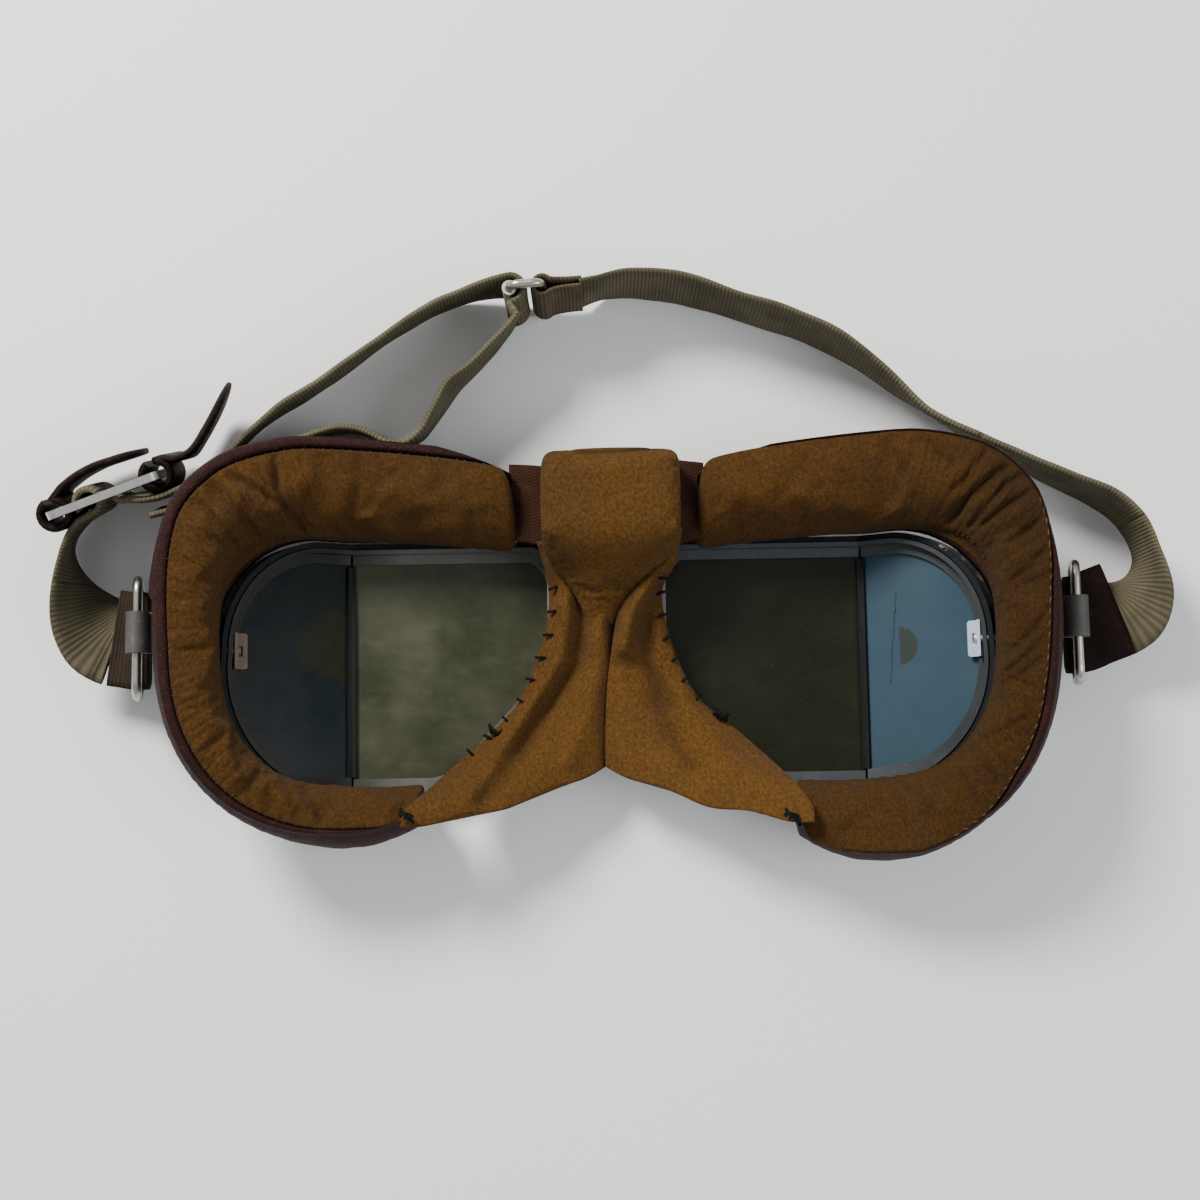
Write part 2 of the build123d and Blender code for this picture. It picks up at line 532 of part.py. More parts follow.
def wire_loop(width, height, corner, radius):
    """Closed loop of round wire in the XY plane, centred, with rounded corners."""
    path = RectangleRounded(width, height, corner).wire()
    start = path.position_at(0)
    section = Plane(origin=start, z_dir=path.tangent_at(0)) * Circle(radius)
    return sweep(section, path=path)


def ring_place():
    """Place of a flat shape that lies in the ring's plane, with its eye bar at x = 0."""
    return Pos(EYE_X, RING_CENTRE_Y, EYE_Z) * Rot(0, RING_FALL_ANGLE, 0)


def strap_ring():
    loop = wire_loop(RING_REACH, RING_LENGTH, RING_CORNER, WIRE_RADIUS)
    return ring_place() * Pos(RING_REACH / 2, 0, 0) * loop


OUTER_BAR_X = EYE_X + RING_REACH * cos(radians(RING_FALL_ANGLE))
OUTER_BAR_Z = EYE_Z - RING_REACH * sin(radians(RING_FALL_ANGLE))
OUTER_BAR = Pos(OUTER_BAR_X, RING_CENTRE_Y, OUTER_BAR_Z)


def hem(thickness, reach, skew):
    """Sewn loop round the ring's outer bar, with the doubled strip that leaves it askew."""
    inner = WIRE_RADIUS + BAR_PLAY
    outer = inner + thickness
    tail = Box(2 * (outer + reach), WEBBING_WIDTH, 2 * thickness)
    outside = Box(WEBBING_WIDTH, 2 * WEBBING_WIDTH, WEBBING_WIDTH,
                  align=(Align.MIN, Align.CENTER, Align.CENTER))
    tail = Rot(0, 0, skew) * tail & Pos(inner, 0, 0) * outside
    sleeve = Rot(90, 0, 0) * Cylinder(outer, WEBBING_WIDTH)
    bore = Rot(90, 0, 0) * Cylinder(inner, 2 * WEBBING_WIDTH)
    return OUTER_BAR * (sleeve + tail - bore)


def hem_end(thickness, reach, skew, beyond):
    """Station in line with the hem's end, a little beyond it."""
    place = OUTER_BAR * Rot(0, 0, skew) * Pos(WIRE_RADIUS + BAR_PLAY + thickness + reach + beyond, 0, 0)
    return place.position.X, place.position.Y, OUTER_BAR_Z, LEVEL


def height_at(x, level):
    """Height above the table of a level over the panes, front or side, at x."""
    side = radians(SIDE_PANE_ANGLE)
    return max(level, level / cos(side) + (x - DIVIDER_X) * tan(side))


def pad_station(shares, sag):
    """Plane of one upright section through a cushion, with its corners; sag lowers the lower seam."""
    inner_x, inner_y, seam_x, seam_y, foot, climb, crown, roll = shares
    x0, y0 = inner_x * PAD_HALF_WIDTH, PAD_TOP_Y - inner_y * PAD_HEIGHT
    seam_drop = seam_y * PAD_HEIGHT + sag * max(0, 2 * seam_y - 1)
    dx, dy = seam_x * PAD_HALF_WIDTH - x0, PAD_TOP_Y - seam_drop - y0
    length = hypot(dx, dy)
    plane = Plane(origin=(x0, y0, 0), x_dir=(dx, dy, 0), z_dir=(dy, -dx, 0))
    edge = (0, height_at(x0, 0) + PAD_EDGE_Z + climb * (PAD_TEMPLE_EDGE_Z - PAD_EDGE_Z))
    seam = (length, PAD_SEAM_Z + climb * PAD_TEMPLE_CLIMB)
    low = (foot * length, height_at(x0 + foot * dx, 0) + SKIRT_LOW_Z)
    knee = (foot * length, height_at(x0 + foot * dx, WALL_HIGH) + SOFT_GAP)
    return plane, edge, seam, knee, low, PAD_CROWN * crown, roll


def bow(a, b, rise, inset=0, trim_a=0, trim_b=0):
    """Three points of an arc from a to b that rises to its left, moved in by inset and trimmed."""
    chord = hypot(b[0] - a[0], b[1] - a[1])
    half = 2 * atan2(2 * rise, chord)
    radius = chord / 2 / sin(half)
    left = (-(b[1] - a[1]) / chord, (b[0] - a[0]) / chord)
    sink = radius * cos(half)
    centre = ((a[0] + b[0]) / 2 - left[0] * sink, (a[1] + b[1]) / 2 - left[1] * sink)
    start = atan2(left[1], left[0]) + half - trim_a / radius
    end = start + trim_a / radius - 2 * half + trim_b / radius
    reach = radius - inset
    return [(centre[0] + reach * cos(t), centre[1] + reach * sin(t)) for t in (start, (start + end) / 2, end)]


def strip(outside, inside):
    """Closed wire between two arcs that run the same way."""
    return Wire([ThreePointArc(*outside), Line(outside[2], inside[2]), ThreePointArc(*inside[::-1]),
                 Line(inside[0], outside[0])])


def lofted(wires):
    solid = Solid.make_loft(wires, ruled=True)
    return solid if solid.volume > 0 else Solid.make_loft(wires[::-1], ruled=True)


def pad_cover(sag):
    """Suede strip over the cushion, from the frame's edge to the outer seam."""
    wires = []
    for shares in PAD_SHARES:
        plane, edge, seam, _, _, crown, _ = pad_station(shares, sag)
        wire = strip(bow(edge, seam, crown), bow(edge, seam, crown, SUEDE))
        wires.append(wire.moved(plane.location))
    return lofted(wires)


def pad_core(sag):
    """Felt that fills the cushion between the suede, the leather and the frame."""
    wires = []
    for shares in PAD_SHARES:
        plane, edge, seam, knee, _, crown, _ = pad_station(shares, sag)
        under = bow(edge, seam, crown, SUEDE + SOFT_GAP, 0, LEATHER + 2 * SOFT_GAP)
        heel = (knee[0] - SOFT_GAP, knee[1] + SOFT_GAP)
        wire = Wire([ThreePointArc(*under), Line(under[2], heel), Line(heel, under[0])])
        wires.append(wire.moved(plane.location))
    return lofted(wires)


def pad_skirt(sag):
    """Outer leather, rolled from the seam down to the bezel's wall."""
    wires = []
    for shares in PAD_SHARES:
        plane, edge, seam, knee_in, low_in, crown, roll = pad_station(shares, sag)
        high_out = bow(edge, seam, crown, SUEDE + SOFT_GAP)[2]
        high_in = bow(edge, seam, crown, SUEDE + SOFT_GAP, 0, LEATHER)[2]
        knee_out = (knee_in[0] + LEATHER, knee_in[1] - LEATHER / 2)
        low_out = (low_in[0] + LEATHER, low_in[1])
        chord = hypot(high_out[0] - knee_out[0], high_out[1] - knee_out[1])
        rolled = bow(high_out, knee_out, roll * chord)
        back = bow(high_in, knee_in, roll * chord)
        wire = Wire([ThreePointArc(*rolled), Line(knee_out, low_out), Line(low_out, low_in),
                     Line(low_in, knee_in), ThreePointArc(*back[::-1]), Line(high_in, high_out)])
        wires.append(wire.moved(plane.location))
    return lofted(wires)


def nose_flap():
    """Leather from the middle seam to the laced nasal edge of one eye."""
    wires = []
    for seam_y, seam_z, lace_x, lace_y, lace_z in FLAP_SHARES:
        a = (FLAP_SEAM_GAP, -seam_y * FLAP_HEIGHT)
        b = (lace_x * FLAP_WIDTH, -lace_y * FLAP_HEIGHT)
        za, zb = seam_z * FLAP_HIGH, lace_z * FLAP_HIGH
        dx, dy = b[0] - a[0], b[1] - a[1]
        length = hypot(dx, dy)
        plane = Plane(origin=(a[0], a[1], 0), x_dir=(dx, dy, 0), z_dir=(dy, -dx, 0))
        middle = (za + zb) / 2 + FLAP_BULGE
        under = [(0, za - FLAP_LEATHER), (length / 2, middle - FLAP_LEATHER), (length, zb - FLAP_LEATHER)]
        wire = strip([(0, za), (length / 2, middle), (length, zb)], under)
        wires.append(wire.moved(plane.location))
    return lofted(wires)


def brow_pad():
    """Stuffed suede block over the bridge, rounded at its upper corners."""
    block = Pos(BROW_SHIFT, BROW_TOP_Y - BROW_HEIGHT / 2, BROW_LOW_Z) * extrude(
        Rectangle(BROW_WIDTH, BROW_HEIGHT), BROW_THICKNESS)
    block = fillet(block.edges().filter_by(Axis.Z).group_by(Axis.Y)[-1], BROW_CORNER)
    return fillet(block.faces().sort_by(Axis.Z)[-1].edges(), BROW_ROUND)


def bridge_leather():
    """Leather that joins the two cushions under the brow pad."""
    end = PAD_SHARES[0][0] * PAD_HALF_WIDTH - BRIDGE_END_GAP
    height = BRIDGE_TOP_Y - BRIDGE_LOW_Y
    sheet = Box(2 * end, height, LEATHER, align=(Align.CENTER, Align.MIN, Align.MIN))
    return Pos(0, BRIDGE_LOW_Y, BRIDGE_LOW_Z) * sheet


def brow_tape(inner):
    """Folded tape that closes the gap between the brow pad and a cushion."""
    end = PAD_SHARES[0][0] * PAD_HALF_WIDTH - BRIDGE_END_GAP
    low = BRIDGE_LOW_Z + LEATHER + SOFT_GAP
    height = BROW_LOW_Z - SOFT_GAP - low
    tape = Box(end - inner, BRIDGE_TOP_Y - BRIDGE_LOW_Y, height, align=(Align.MIN, Align.MIN, Align.MIN))
    return Pos(inner, BRIDGE_LOW_Y, low) * tape


def webbing(stations, width, thickness):
    """Flat strip through stations of x, y, middle height and lean in degrees, 90 being upright."""
    wires = []
    for i, (x, y, z, lean) in enumerate(stations):
        before, after = stations[max(i - 1, 0)], stations[min(i + 1, len(stations) - 1)]
        heading = atan2(after[1] - before[1], after[0] - before[0])
        tilt = radians(lean)
        across = (-sin(heading) * cos(tilt), cos(heading) * cos(tilt), sin(tilt))
        plane = Plane(origin=(x, y, z), x_dir=across, z_dir=(cos(heading), sin(heading), 0))
        wires.append((plane * Rectangle(width, thickness)).wire())
    return lofted(wires)


def route(table):
    """Stations in mm and degrees from a table of shares."""
    stations = []
    for x, y, z, lean in table:
        stations.append((x * STRAP_HALF_SPAN, y * STRAP_RISE, z * WEBBING_WIDTH, lean * UPRIGHT))
    return stations


def sleeve(place, inner, thickness, height):
    """Sewn or rolled tube round a bar."""
    return place * (Cylinder(inner + thickness, height) - Cylinder(inner, height + CUT_OVERRUN))


def buckle_place(index):
    """Place of one of the buckle's bars, with the bar along its Z and the plate along its X."""
    along = -(BUCKLE_LENGTH - BUCKLE_BAR) / 2 + index * BUCKLE_PITCH
    return BUCKLE * Pos(along, 0, 0)


def beside_bar(index, along, step):
    """Station beside one of the buckle's bars, as webbing that lies along the plate."""
    x, y, z = (buckle_place(index) * Pos(along, step, 0)).position
    return x, y, z, UPRIGHT + BUCKLE_LEAN


def tab_buckle():
    """Plate with four bars and three windows, on its edge."""
    plate = RectangleRounded(BUCKLE_LENGTH, BUCKLE_HEIGHT, BUCKLE_CORNER)
    for i in range(BUCKLE_BARS - 1):
        middle = -(BUCKLE_LENGTH - BUCKLE_BAR) / 2 + (i + 1 / 2) * BUCKLE_PITCH
        plate = plate - Pos(middle, 0) * Rectangle(BUCKLE_PITCH - BUCKLE_BAR, WINDOW_HEIGHT)
    return BUCKLE * Rot(90, 0, 0) * Pos(0, 0, -BUCKLE_METAL / 2) * extrude(plate, BUCKLE_METAL)


def strap_left():
    """Short webbing from the left ring's hem, turned up on edge, to the buckle's second bar."""
    stations = []
    for beyond in (HEM_GAP, 2 * HEM_GAP):
        x, y, z, lean = hem_end(WEBBING_HEM, LEFT_HEM_REACH, LEFT_HEM_SKEW, beyond)
        stations.append((-x, y, z, lean))
    stations += route(STRAP_LEFT_SHARES)
    stations += [beside_bar(1, -HEM_STEP, -HEM_STEP), beside_bar(1, 0, -HEM_STEP)]
    strap = webbing(stations, WEBBING_WIDTH, WEBBING)
    return strap + sleeve(buckle_place(1), BAR_RADIUS + BAR_PLAY, WEBBING, WEBBING_WIDTH)


def adjuster_bar(side):
    turn = radians(ADJUSTER_TURN)
    along = side * ADJUSTER_PITCH / 2
    return ADJUSTER_X + along * cos(turn), ADJUSTER_Y + along * sin(turn), RAISED


def strap_loop():
    """Webbing that leaves the buckle's third bar, turns round the adjuster and comes back."""
    x, y, z = adjuster_bar(-1)
    radius = ADJUSTER_BAR + BAR_PLAY + WEBBING / 2
    stations = [beside_bar(2, 0, -HEM_STEP)] + route(LOOP_OUT_SHARES)
    for step in range(LOOP_TURNS):
        around = radians(UPRIGHT - step * LOOP_STEP)
        stations.append((x + radius * cos(around), y + radius * sin(around), z, UPRIGHT))
    strap = webbing(stations + route(LOOP_BACK_SHARES), WEBBING_WIDTH, WEBBING)
    return strap + sleeve(buckle_place(2), BAR_RADIUS + BAR_PLAY, WEBBING, WEBBING_WIDTH - 2 * HEM_GAP)


def strap_right():
    """Long webbing from the adjuster's hem round to the right ring's leather end."""
    reach = ADJUSTER_WIRE + BAR_PLAY + WEBBING_HEM + TOP_HEM_REACH
    stations = []
    for beyond in (HEM_GAP, 2 * HEM_GAP):
        x, y, z = (top_hem_place() * Pos(reach + beyond, 0, 0)).position
        stations.append((x, y, z, UPRIGHT))
    stations += route(STRAP_RIGHT_SHARES)
    for beyond in (2 * HEM_GAP, HEM_GAP):
        stations.append(hem_end(TAB_LEATHER / 2, END_REACH, RIGHT_HEM_SKEW, beyond))
    return webbing(stations, WEBBING_WIDTH, WEBBING)


def top_hem_place():
    return Pos(*adjuster_bar(1)) * Rot(0, 0, ADJUSTER_TURN)


def top_hem():
    """Turned and sewn end of the long webbing round the adjuster's free bar."""
    inner = ADJUSTER_WIRE + BAR_PLAY
    outer = inner + WEBBING_HEM
    tail = Box(outer + TOP_HEM_REACH, 2 * WEBBING_HEM, WEBBING_WIDTH,
               align=(Align.MIN, Align.CENTER, Align.CENTER))
    turned = Cylinder(outer, WEBBING_WIDTH) + tail - Cylinder(inner, WEBBING_WIDTH + CUT_OVERRUN)
    return top_hem_place() * turned


def adjuster_loop():
    loop = wire_loop(ADJUSTER_PITCH, BUCKLE_HEIGHT - 2 * ADJUSTER_WIRE, ADJUSTER_CORNER, ADJUSTER_WIRE)
    return Pos(ADJUSTER_X, ADJUSTER_Y, RAISED) * Rot(0, 0, ADJUSTER_TURN) * Rot(90, 0, 0) * loop


def adjuster_roller():
    """Plate rolled round the loop's inner bar, under the turn of the strap."""
    height = BUCKLE_HEIGHT - 2 * ADJUSTER_WIRE - 2 * ADJUSTER_CORNER
    return sleeve(Pos(*adjuster_bar(-1)), ADJUSTER_WIRE + PIN_PLAY, ROLLER_METAL, height)


def pull_tab(bar, table):
    """Leather pull: two sewn layers, looped round one of the buckle's end bars."""
    stations = [beside_bar(bar, 0, TAB_STEP)]
    for x, y in table:
        stations.append((x * STRAP_HALF_SPAN, y * STRAP_RISE, RAISED, UPRIGHT + BUCKLE_LEAN))
    tab = webbing(stations, TAB_WIDTH, TAB_LEATHER)
    return tab + sleeve(buckle_place(bar), BAR_RADIUS + BAR_PLAY, TAB_LEATHER / 2, TAB_WIDTH)


def pull_tab_outer():
    return pull_tab(0, TAB_OUTER_SHARES)


def pull_tab_inner():
    return pull_tab(3, TAB_INNER_SHARES)


def other_side(shape):
    return mirror(shape, about=Plane.YZ)


def write(name, *solids):
    """Moves a node so that the origin is under the middle of the whole, and writes it."""
    moved = [Pos(ORIGIN_SHIFT_X, ORIGIN_SHIFT_Y, 0) * solid for solid in solids]
    shape = moved[0] if len(moved) == 1 else Compound(moved)
    export_step(shape, f"parts/{name}.step")
    return shape


def build():
    os.makedirs("parts", exist_ok=True)
    halves = {
        "frame": [frame()], "bezel": [bezel()], "divider": [divider()],
        "front_lens": [lens(front_sight(), False)], "side_lens": [lens(side_sight(), True)],
        "hinge_rivets": leaf_rivets(), "temple_clip": [temple_clip()], "clip_screw": [clip_screw()],
        "ring_bracket": [ring_bracket()], "bracket_rivets": bracket_rivets(), "strap_ring": [strap_ring()],
        "nose_flap": [nose_flap()]}
    for name, solids in halves.items():
        write(f"right_{name}", *solids)
        write(f"left_{name}", *[other_side(solid) for solid in solids])
    layers = {"cover": pad_cover, "core": pad_core, "skirt": pad_skirt}
    for name, make in layers.items():
        write(f"right_cushion_{name}", make(RIGHT_SAG))
        write(f"left_cushion_{name}", other_side(make(LEFT_SAG)))
    write("right_hinge_leaf", hinge_leaf(1))
    write("left_hinge_leaf", other_side(hinge_leaf(0)))
    write("hinge_pin", hinge_pin())
    write("brow_pad", brow_pad())
    write("bridge_leather", bridge_leather())
    write("right_brow_tape", brow_tape(TAPE_INNER_X))
    write("left_brow_tape", other_side(brow_tape(TAPE_INNER_X - BROW_SHIFT)))
    write("left_strap_hem", other_side(hem(WEBBING_HEM, LEFT_HEM_REACH, LEFT_HEM_SKEW)))
    write("right_strap_end", hem(TAB_LEATHER / 2, END_REACH, RIGHT_HEM_SKEW))
    write("strap_left", strap_left())
    write("strap_loop", strap_loop())
    write("strap_right", strap_right())
    write("adjuster_hem", top_hem())
    write("adjuster_loop", adjuster_loop())
    write("adjuster_roller", adjuster_roller())
    write("tab_buckle", tab_buckle())
    write("pull_tab_outer", pull_tab_outer())
    write("pull_tab_inner", pull_tab_inner())


build()
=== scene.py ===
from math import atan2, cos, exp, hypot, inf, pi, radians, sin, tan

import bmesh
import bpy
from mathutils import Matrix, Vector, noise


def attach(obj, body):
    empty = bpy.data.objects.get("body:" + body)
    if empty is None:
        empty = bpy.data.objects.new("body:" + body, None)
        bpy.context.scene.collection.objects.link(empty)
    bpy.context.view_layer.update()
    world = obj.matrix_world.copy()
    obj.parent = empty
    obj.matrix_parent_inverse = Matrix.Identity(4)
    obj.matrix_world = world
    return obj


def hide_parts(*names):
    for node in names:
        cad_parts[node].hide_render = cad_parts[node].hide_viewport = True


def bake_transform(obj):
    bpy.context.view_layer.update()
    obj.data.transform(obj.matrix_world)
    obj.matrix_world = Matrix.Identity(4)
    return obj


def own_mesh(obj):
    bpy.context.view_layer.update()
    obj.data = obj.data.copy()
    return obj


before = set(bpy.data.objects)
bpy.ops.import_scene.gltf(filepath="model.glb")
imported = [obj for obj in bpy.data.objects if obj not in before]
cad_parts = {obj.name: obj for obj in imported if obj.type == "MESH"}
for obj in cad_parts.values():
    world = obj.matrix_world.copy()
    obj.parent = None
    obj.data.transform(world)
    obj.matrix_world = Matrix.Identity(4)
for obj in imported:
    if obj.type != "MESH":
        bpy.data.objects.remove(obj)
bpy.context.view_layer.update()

# %% [markdown]
# # Flying goggles, dressed over their CAD frame
#
# The goggles lie lens side down on a pale table, and the camera looks at the face side.
# The hard parts keep their CAD shapes and get paint, steel and glass. The soft parts are
# built again here: two stuffed cushions, the nose leather, a brow pad, tapes and webbing.
# Sizes are written in millimetres about the hinge line, as a maker would draw them, and
# one helper turns them into metres in the frame that the CAD model uses, and one back.

HINGE_LINE = (0.5, 2.1)
HAND = {"right": 1, "left": -1}


def metres(x, y, z):
    return Vector(((x + HINGE_LINE[0]) / 1000, (y + HINGE_LINE[1]) / 1000, z / 1000))


def millimetres(point):
    return point.x * 1000 - HINGE_LINE[0], point.y * 1000 - HINGE_LINE[1], point.z * 1000


# %% [markdown]
# ## Camera, table and light
#
# The photograph was taken from almost straight above, a little from below the chin side,
# and rolled by one degree. A camera can be turned with angles or with a matrix. The matrix
# is used here, because its three columns are the picture's right, its up and the way back.

# %% Camera
TILT, ROLL = radians(6), radians(1)
CAMERA_PLACE = (-0.0010, -0.0514, 0.4177)
SENSOR_WIDTH, FOCAL_PIXELS, PICTURE_WIDTH = 36, 1794, 1200

level_up = Vector((0, cos(TILT), sin(TILT)))
backwards = Vector((0, -sin(TILT), cos(TILT)))
picture_right = cos(ROLL) * Vector((1, 0, 0)) - sin(ROLL) * level_up
picture_up = sin(ROLL) * Vector((1, 0, 0)) + cos(ROLL) * level_up

lens = bpy.data.cameras.new("photo_view")
lens.lens = SENSOR_WIDTH * FOCAL_PIXELS / PICTURE_WIDTH
lens.clip_start, lens.clip_end = 0.01, 20
camera = bpy.data.objects.new("photo_view", lens)
bpy.context.scene.collection.objects.link(camera)
turn = Matrix((picture_right, picture_up, backwards)).transposed().to_4x4()
camera.matrix_world = Matrix.Translation(CAMERA_PLACE) @ turn
bpy.context.scene.camera = camera
print("lens", round(lens.lens, 2), "mm")


# %% Table top and soft light
TABLE_REACH, TABLE_DROP = 3.0, 0.0003
LIGHT_AIM = (0, 0, 0.02)


def plain_finish(name, colour, roughness):
    """A material of one colour and one roughness."""
    finish = bpy.data.materials.new(name)
    finish.use_nodes = True
    skin = finish.node_tree.nodes["Principled BSDF"]
    skin.inputs["Base Color"].default_value = (*colour, 1)
    skin.inputs["Roughness"].default_value = roughness
    return finish


mesh = bpy.data.meshes.new("table_top")
corners = [(x * TABLE_REACH, y * TABLE_REACH, 0) for x, y in ((-1, -1), (1, -1), (1, 1), (-1, 1))]
mesh.from_pydata(corners, [], [(0, 1, 2, 3)])
table_top = bpy.data.objects.new("table_top", mesh)
table_top.location.z = -TABLE_DROP
bpy.context.scene.collection.objects.link(table_top)
mesh.materials.append(plain_finish("pale_table", (0.90, 0.90, 0.89), 0.6))


def soft_light(name, place, size, watts, colour):
    """A round area light aimed at the middle of the goggles."""
    lamp = bpy.data.lights.new(name, "AREA")
    lamp.shape = "DISK"
    lamp.size = size
    lamp.energy = watts
    lamp.color = colour
    light = bpy.data.objects.new(name, lamp)
    light.location = place
    light.rotation_mode = "QUATERNION"
    light.rotation_quaternion = (Vector(LIGHT_AIM) - Vector(place)).to_track_quat("-Z", "Y")
    bpy.context.scene.collection.objects.link(light)


soft_light("key", (-0.42, 0.52, 0.62), 0.30, 13.0, (1, 0.98, 0.95))
soft_light("fill", (0.75, -0.25, 0.8), 0.7, 5.0, (0.93, 0.96, 1))
sky = bpy.data.worlds.new("pale_room")
sky.use_nodes = True
sky.node_tree.nodes["Background"].inputs["Color"].default_value = (0.95, 0.97, 1, 1)
sky.node_tree.nodes["Background"].inputs["Strength"].default_value = 0.55
bpy.context.scene.world = sky

# %% [markdown]
# ## Finishes: effects shared as node groups
#
# Suede, hide, webbing, tape, worn metal, glass and thread are each one node group, built
# once and placed in every material that needs it with its own numbers. A group gives out
# only the colour, height and roughness, which change over the surface. The shader stays in
# the material, where its sheen, gloss and index of refraction are plain numbers.


# %% Helpers that build a group and a finish
def effect_group(name, **inputs):
    """An empty group with these inputs, which gives out a colour, a height and a roughness."""
    tree = bpy.data.node_groups.new(name, "ShaderNodeTree")
    for label, value in inputs.items():
        kind = "NodeSocketColor" if isinstance(value, tuple) else "NodeSocketFloat"
        tree.interface.new_socket(label, in_out="INPUT", socket_type=kind).default_value = value
    for label, kind in (("Colour", "Color"), ("Height", "Float"), ("Roughness", "Float")):
        tree.interface.new_socket(label, in_out="OUTPUT", socket_type="NodeSocket" + kind)
    return tree, tree.nodes.new("NodeGroupInput").outputs, tree.nodes.new("NodeGroupOutput").inputs


def feed(tree, value, socket):
    """Gives an input a wire or a plain value, or leaves it for None."""
    if isinstance(value, bpy.types.NodeSocket):
        tree.links.new(value, socket)
    elif value is not None:
        colour = socket.type == "RGBA" and len(value) == 3
        socket.default_value = (*value, 1) if colour else value


def add(tree, kind, settings=(), **inputs):
    """A new node with its settings and its inputs, which are named with _ for a space."""
    node = tree.nodes.new(kind)
    for key, value in settings:
        setattr(node, key, value)
    for label, value in inputs.items():
        feed(tree, value, node.inputs[label.replace("_", " ")])
    return node


def object_place(tree):
    return add(tree, "ShaderNodeTexCoord").outputs["Object"]


def axes_of(tree, place):
    """The x, y and z values of a place."""
    return add(tree, "ShaderNodeSeparateXYZ", Vector=place).outputs


def sums(tree, operation, a, b=None, clamp=False):
    """One step of arithmetic on values or plain numbers."""
    node = add(tree, "ShaderNodeMath", (("operation", operation), ("use_clamp", clamp)))
    feed(tree, a, node.inputs[0])
    feed(tree, b, node.inputs[1])
    return node.outputs[0]


def times(tree, a, b):
    return sums(tree, "MULTIPLY", a, b)


def plus(tree, a, b, share=None):
    """a and b added up, or a and a share of b."""
    return sums(tree, "ADD", a, b if share is None else times(tree, b, share))


def waves(tree, value, kind="SINE"):
    """A sine or cosine with one full wave for each whole step of the value."""
    return sums(tree, kind, times(tree, value, 2 * pi))


def speckle(tree, place, scale, detail=3.0, rough=0.55, stretch=None):
    """Noise of so many grains in a metre, read at a place; stretch squeezes it along the axes first."""
    if stretch:
        place = add(tree, "ShaderNodeMapping", Vector=place, Scale=stretch).outputs[0]
    node = add(tree, "ShaderNodeTexNoise", Vector=place, Scale=scale, Detail=detail, Roughness=rough)
    return node.outputs["Fac"]


def span(tree, value, low, high, start=0.0, end=1.0):
    """The value moved from the range low to high into the range start to end, and held there."""
    node = add(tree, "ShaderNodeMapRange", [("clamp", True)])
    for index, number in enumerate((value, low, high, start, end)):
        feed(tree, number, node.inputs[index])
    return node.outputs[0]


def blend_colours(tree, share, a, b, kind="MIX"):
    """Colour a with a share of colour b over it."""
    node = add(tree, "ShaderNodeMix", (("data_type", "RGBA"), ("blend_type", kind)))
    for index, value in ((0, share), (6, a), (7, b)):
        feed(tree, value, node.inputs[index])
    return node.outputs[2]


def shaded(tree, colour, shade):
    """A colour multiplied by a grey value."""
    return blend_colours(tree, 1.0, colour, shade, "MULTIPLY")


def give_out(tree, out, colour, height, roughness):
    for label, value in (("Colour", colour), ("Height", height), ("Roughness", roughness)):
        feed(tree, value, out[label])


def new_finish(name, group, values, bump, **fixed):
    """A material whose shader is fed by one effect group; bump is in metres."""
    finish = bpy.data.materials.new(name)
    finish.use_nodes = True
    tree = finish.node_tree
    effect = add(tree, "ShaderNodeGroup", [("node_tree", group)], **values)
    # the stored attribute holds soil and painted shade
    if "Soiled" in effect.inputs:
        painted = add(tree, "ShaderNodeAttribute", [("attribute_name", "darkening")])
        feed(tree, painted.outputs["Fac"], effect.inputs["Soiled"])
    relief = add(tree, "ShaderNodeBump", Strength=1.0, Distance=bump, Height=effect.outputs["Height"])
    fixed.update({"Base Color": effect.outputs["Colour"], "Roughness": effect.outputs["Roughness"],
                  "Normal": relief.outputs["Normal"]})
    for label, value in fixed.items():
        feed(tree, value, tree.nodes["Principled BSDF"].inputs[label.replace("_", " ")])
    return finish


def base_colour(finish):
    """A finish's tree, the colour input of its shader, and what feeds it now."""
    tree = finish.node_tree
    socket = tree.nodes["Principled BSDF"].inputs["Base Color"]
    return tree, socket, socket.links[0].from_socket


def painted_shade_by_place(finish, start, end, low, high, axis=0):
    """Paints shade into a finish's colour: multiplies it by a value from low to high between two places, in
    metres.
    """
    tree, socket, before = base_colour(finish)
    place = axes_of(tree, object_place(tree))[axis]
    feed(tree, shaded(tree, before, span(tree, place, start, end, low, high)), socket)


# %% Suede: napped pile that is paler where it is brushed and darker where it is greasy, soiled or painted with shade
SOIL_AND_SHADE_COLOUR = (0.012, 0.007, 0.004)
PILE_RELIEF = 0.00055

pile, given, out = effect_group("suede_pile", Pile=(0.2, 0.1, 0.04, 1), Greasy=(0.07, 0.035, 0.018, 1),
                                Wear=0.5, Soiled=0.0)
here = object_place(pile)
patches = speckle(pile, here, 70, 4, 0.6)
tufts = speckle(pile, here, 1450, 4, 0.7, (1, 0.75, 1))
hairs = speckle(pile, here, 4200, 2, 0.7, (1, 0.5, 1))
greasy_share = times(pile, span(pile, patches, 0.40, 0.72), given["Wear"])
tone = blend_colours(pile, greasy_share, given["Pile"], given["Greasy"])
# soil and painted shade, stored on the points, pull the pile towards a near-black brown
darkening = sums(pile, "MULTIPLY", given["Soiled"], span(pile, tufts, 0.3, 0.6, 0.7, 1.0), True)
tone = blend_colours(pile, darkening, tone, SOIL_AND_SHADE_COLOUR)
tone = shaded(pile, tone, span(pile, tufts, 0.33, 0.67, 0.62, 1.36))
tone = shaded(pile, tone, span(pile, hairs, 0.3, 0.7, 0.72, 1.25))
give_out(pile, out, tone, plus(pile, times(pile, tufts, 0.6), hairs, 0.4),
         span(pile, greasy_share, 0, 1, 0.95, 0.6))


